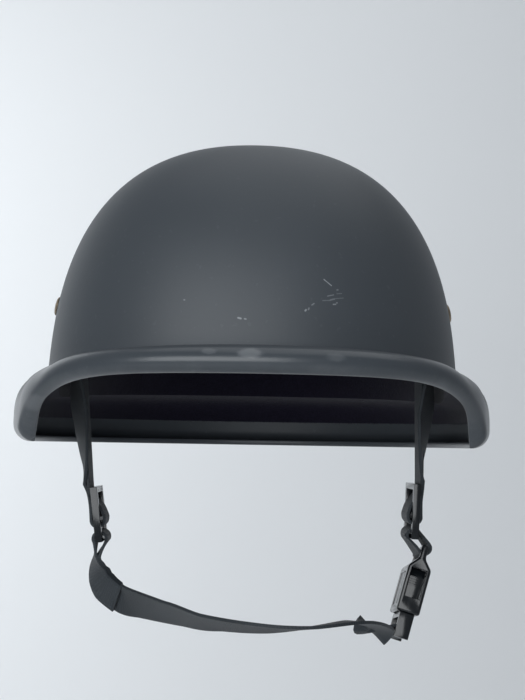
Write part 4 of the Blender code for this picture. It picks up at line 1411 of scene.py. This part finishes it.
class HELMET_OT_rivets(bpy.types.Operator):
    """Builds the four rivets"""

    bl_idname = "helmet.rivets"
    bl_label = "Rivets"

    def execute(self, context):
        brass = rivet_material()
        for side_name, side in SIDES.items():
            for end, place in rivet_frames(side).items():
                build_rivet(side_name + "_" + end + "_rivet", place, brass)
        return {"FINISHED"}


class HELMET_OT_straps(bpy.types.Operator):
    """Builds the webbing: two side straps, the chin strap and the buckle's loop, with their stitches"""

    bl_idname = "helmet.straps"
    bl_label = "Straps"

    def execute(self, context):
        detail = context.scene.helmet_detail
        group = stitch_group()
        thread = thread_material()
        inputs = {"Length": detail.stitch_length, "Thread radius": detail.thread}
        webbing = webbing_material()
        for side_name, side in SIDES.items():
            route = side_strap_route(side, side_name + "_slider")
            build_strap(side_name + "_side_webbing", route, side_name + "_side_strap", webbing)
            total = route_lengths(route)[-1]
            rows = []
            for face in (-1, 1):
                for distance in (TAB_STITCHES, total - TAB_STITCHES):
                    rows += stitch_bar(route, distance, face)
            from_points(side_name + "_tab_stitches", rows, group, inputs, thread)
        route = chin_strap_route()
        build_strap("chin_webbing", route, "chin_strap", webbing)
        start, end = FOLD_STITCH_START, FOLD_STITCH_END
        rows = stitch_bar(route, start, 1) + stitch_bar(route, start, -1)
        for share in STITCH_LINES:
            for face in (1, -1):
                rows += stitch_line(route, start, end, face, share)
        rows += stitch_bar(route, end, 1) + stitch_bar(route, end, -1)
        from_points("fold_stitches", rows, group, inputs, thread)
        loop = link_route()
        build_strap("buckle_loop_webbing", loop, "buckle_loop", webbing, closed=True)
        rows = stitch_bar(loop + loop[:1], route_lengths(loop)[-1] * 0.5, 1)
        from_points("loop_stitches", rows, group, inputs, thread)
        return {"FINISHED"}


class HELMET_OT_hardware(bpy.types.Operator):
    """Builds the two sliders and the side-release buckle"""

    bl_idname = "helmet.hardware"
    bl_label = "Sliders and buckle"

    def execute(self, context):
        plastic = plastic_material()
        build_slider("left_slider", plastic)
        build_slider("right_slider", plastic)
        build_buckle_body(plastic)
        build_buckle_clip(plastic)
        return {"FINISHED"}


class HELMET_OT_stage(bpy.types.Operator):
    """Builds the camera, the backdrop and the lights"""

    bl_idname = "helmet.stage"
    bl_label = "Stage"

    def execute(self, context):
        stage = context.scene.helmet_stage
        rim = -HEAD_SEAT_HEIGHT
        camera_data = bpy.data.cameras.new("camera")
        camera_data.sensor_fit = "VERTICAL"
        camera_data.sensor_height = 24.0
        camera_data.lens = stage.lens
        camera_data.shift_x = stage.shift
        camera = add_object("camera", camera_data)
        turn = Matrix.Rotation(pi / 2 + stage.pitch, 4, "X") @ Matrix.Rotation(stage.roll, 4, "Z")
        place = Matrix.Translation((0.0, -stage.distance, rim)) @ turn
        camera.matrix_world = Matrix.Rotation(-stage.turn, 4, "Z") @ place
        context.scene.camera = camera

        floor = rim - stage.floor
        corner = BACKDROP_BEHIND - BACKDROP_BEND
        line = [(BACKDROP_FRONT, floor), (corner, floor)]
        for i in range(1, BEND_STEPS + 1):
            angle = pi / 2 * i / BEND_STEPS
            line.append((corner + BACKDROP_BEND * sin(angle), floor + BACKDROP_BEND * (1 - cos(angle))))
        line.append((BACKDROP_BEHIND, floor + BACKDROP_RISE))
        points = [(x, y, z) for y, z in line for x in (-BACKDROP_HALF_WIDTH, BACKDROP_HALF_WIDTH)]
        faces = [(2 * i, 2 * i + 1, 2 * i + 3, 2 * i + 2) for i in range(len(line) - 1)]
        sweep = bpy.data.meshes.new("backdrop")
        sweep.from_pydata(points, [], faces)
        sweep.materials.append(stage_material("pale_backdrop", (0.80, 0.81, 0.82)))
        sweep.shade_smooth()
        backdrop = add_object("backdrop", sweep)

        for name, (power, size, place, aim) in LIGHTS.items():
            data = bpy.data.lights.new(name, "AREA")
            data.energy = getattr(stage, power)
            data.shape = "RECTANGLE"
            data.size, data.size_y = size
            data.color = (0.95, 0.98, 1.0)
            turn = (Vector(aim) - Vector(place)).to_track_quat("-Z", "Y").to_matrix().to_4x4()
            add_object(name, data).matrix_world = Matrix.Translation(place) @ turn

        world = bpy.data.worlds.new("even_light")
        world.use_nodes = True
        sky = world.node_tree.nodes["Background"]
        sky.inputs["Color"].default_value = (0.86, 0.92, 1.0, 1.0)
        sky.inputs["Strength"].default_value = stage.world
        context.scene.world = world
        context.scene.view_settings.view_transform = "Standard"
        return {"FINISHED"}


class HELMET_PT_sidebar(bpy.types.Panel):
    """Lists the helmet's build steps and settings."""

    bl_label = "Helmet"
    bl_idname = "HELMET_PT_sidebar"
    bl_space_type = "VIEW_3D"
    bl_region_type = "UI"
    bl_category = "Helmet"

    def draw(self, context):
        for operator in OPERATORS:
            self.layout.operator(operator.bl_idname)
        for name in GROUPS:
            settings = getattr(context.scene, name)
            box = self.layout.box()
            for key in settings.__annotations__:
                box.prop(settings, key)


GROUPS = {"helmet_look": HelmetLook, "helmet_detail": HelmetDetail, "helmet_stage": HelmetStage}
OPERATORS = (
    HELMET_OT_shell,
    HELMET_OT_lining,
    HELMET_OT_rivets,
    HELMET_OT_straps,
    HELMET_OT_hardware,
    HELMET_OT_stage,
)


def register():
    for name, group in GROUPS.items():
        bpy.utils.register_class(group)
        setattr(bpy.types.Scene, name, PointerProperty(type=group))
    for operator in OPERATORS:
        bpy.utils.register_class(operator)
    bpy.utils.register_class(HELMET_PT_sidebar)


def unregister():
    bpy.utils.unregister_class(HELMET_PT_sidebar)
    for operator in reversed(OPERATORS):
        bpy.utils.unregister_class(operator)
    for name, group in reversed(GROUPS.items()):
        delattr(bpy.types.Scene, name)
        bpy.utils.unregister_class(group)


def main():
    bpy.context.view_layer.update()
    register()
    bpy.ops.helmet.shell()
    bpy.ops.helmet.lining()
    bpy.ops.helmet.rivets()
    bpy.ops.helmet.straps()
    bpy.ops.helmet.hardware()
    bpy.ops.helmet.stage()


if __name__ == "__main__":
    main()
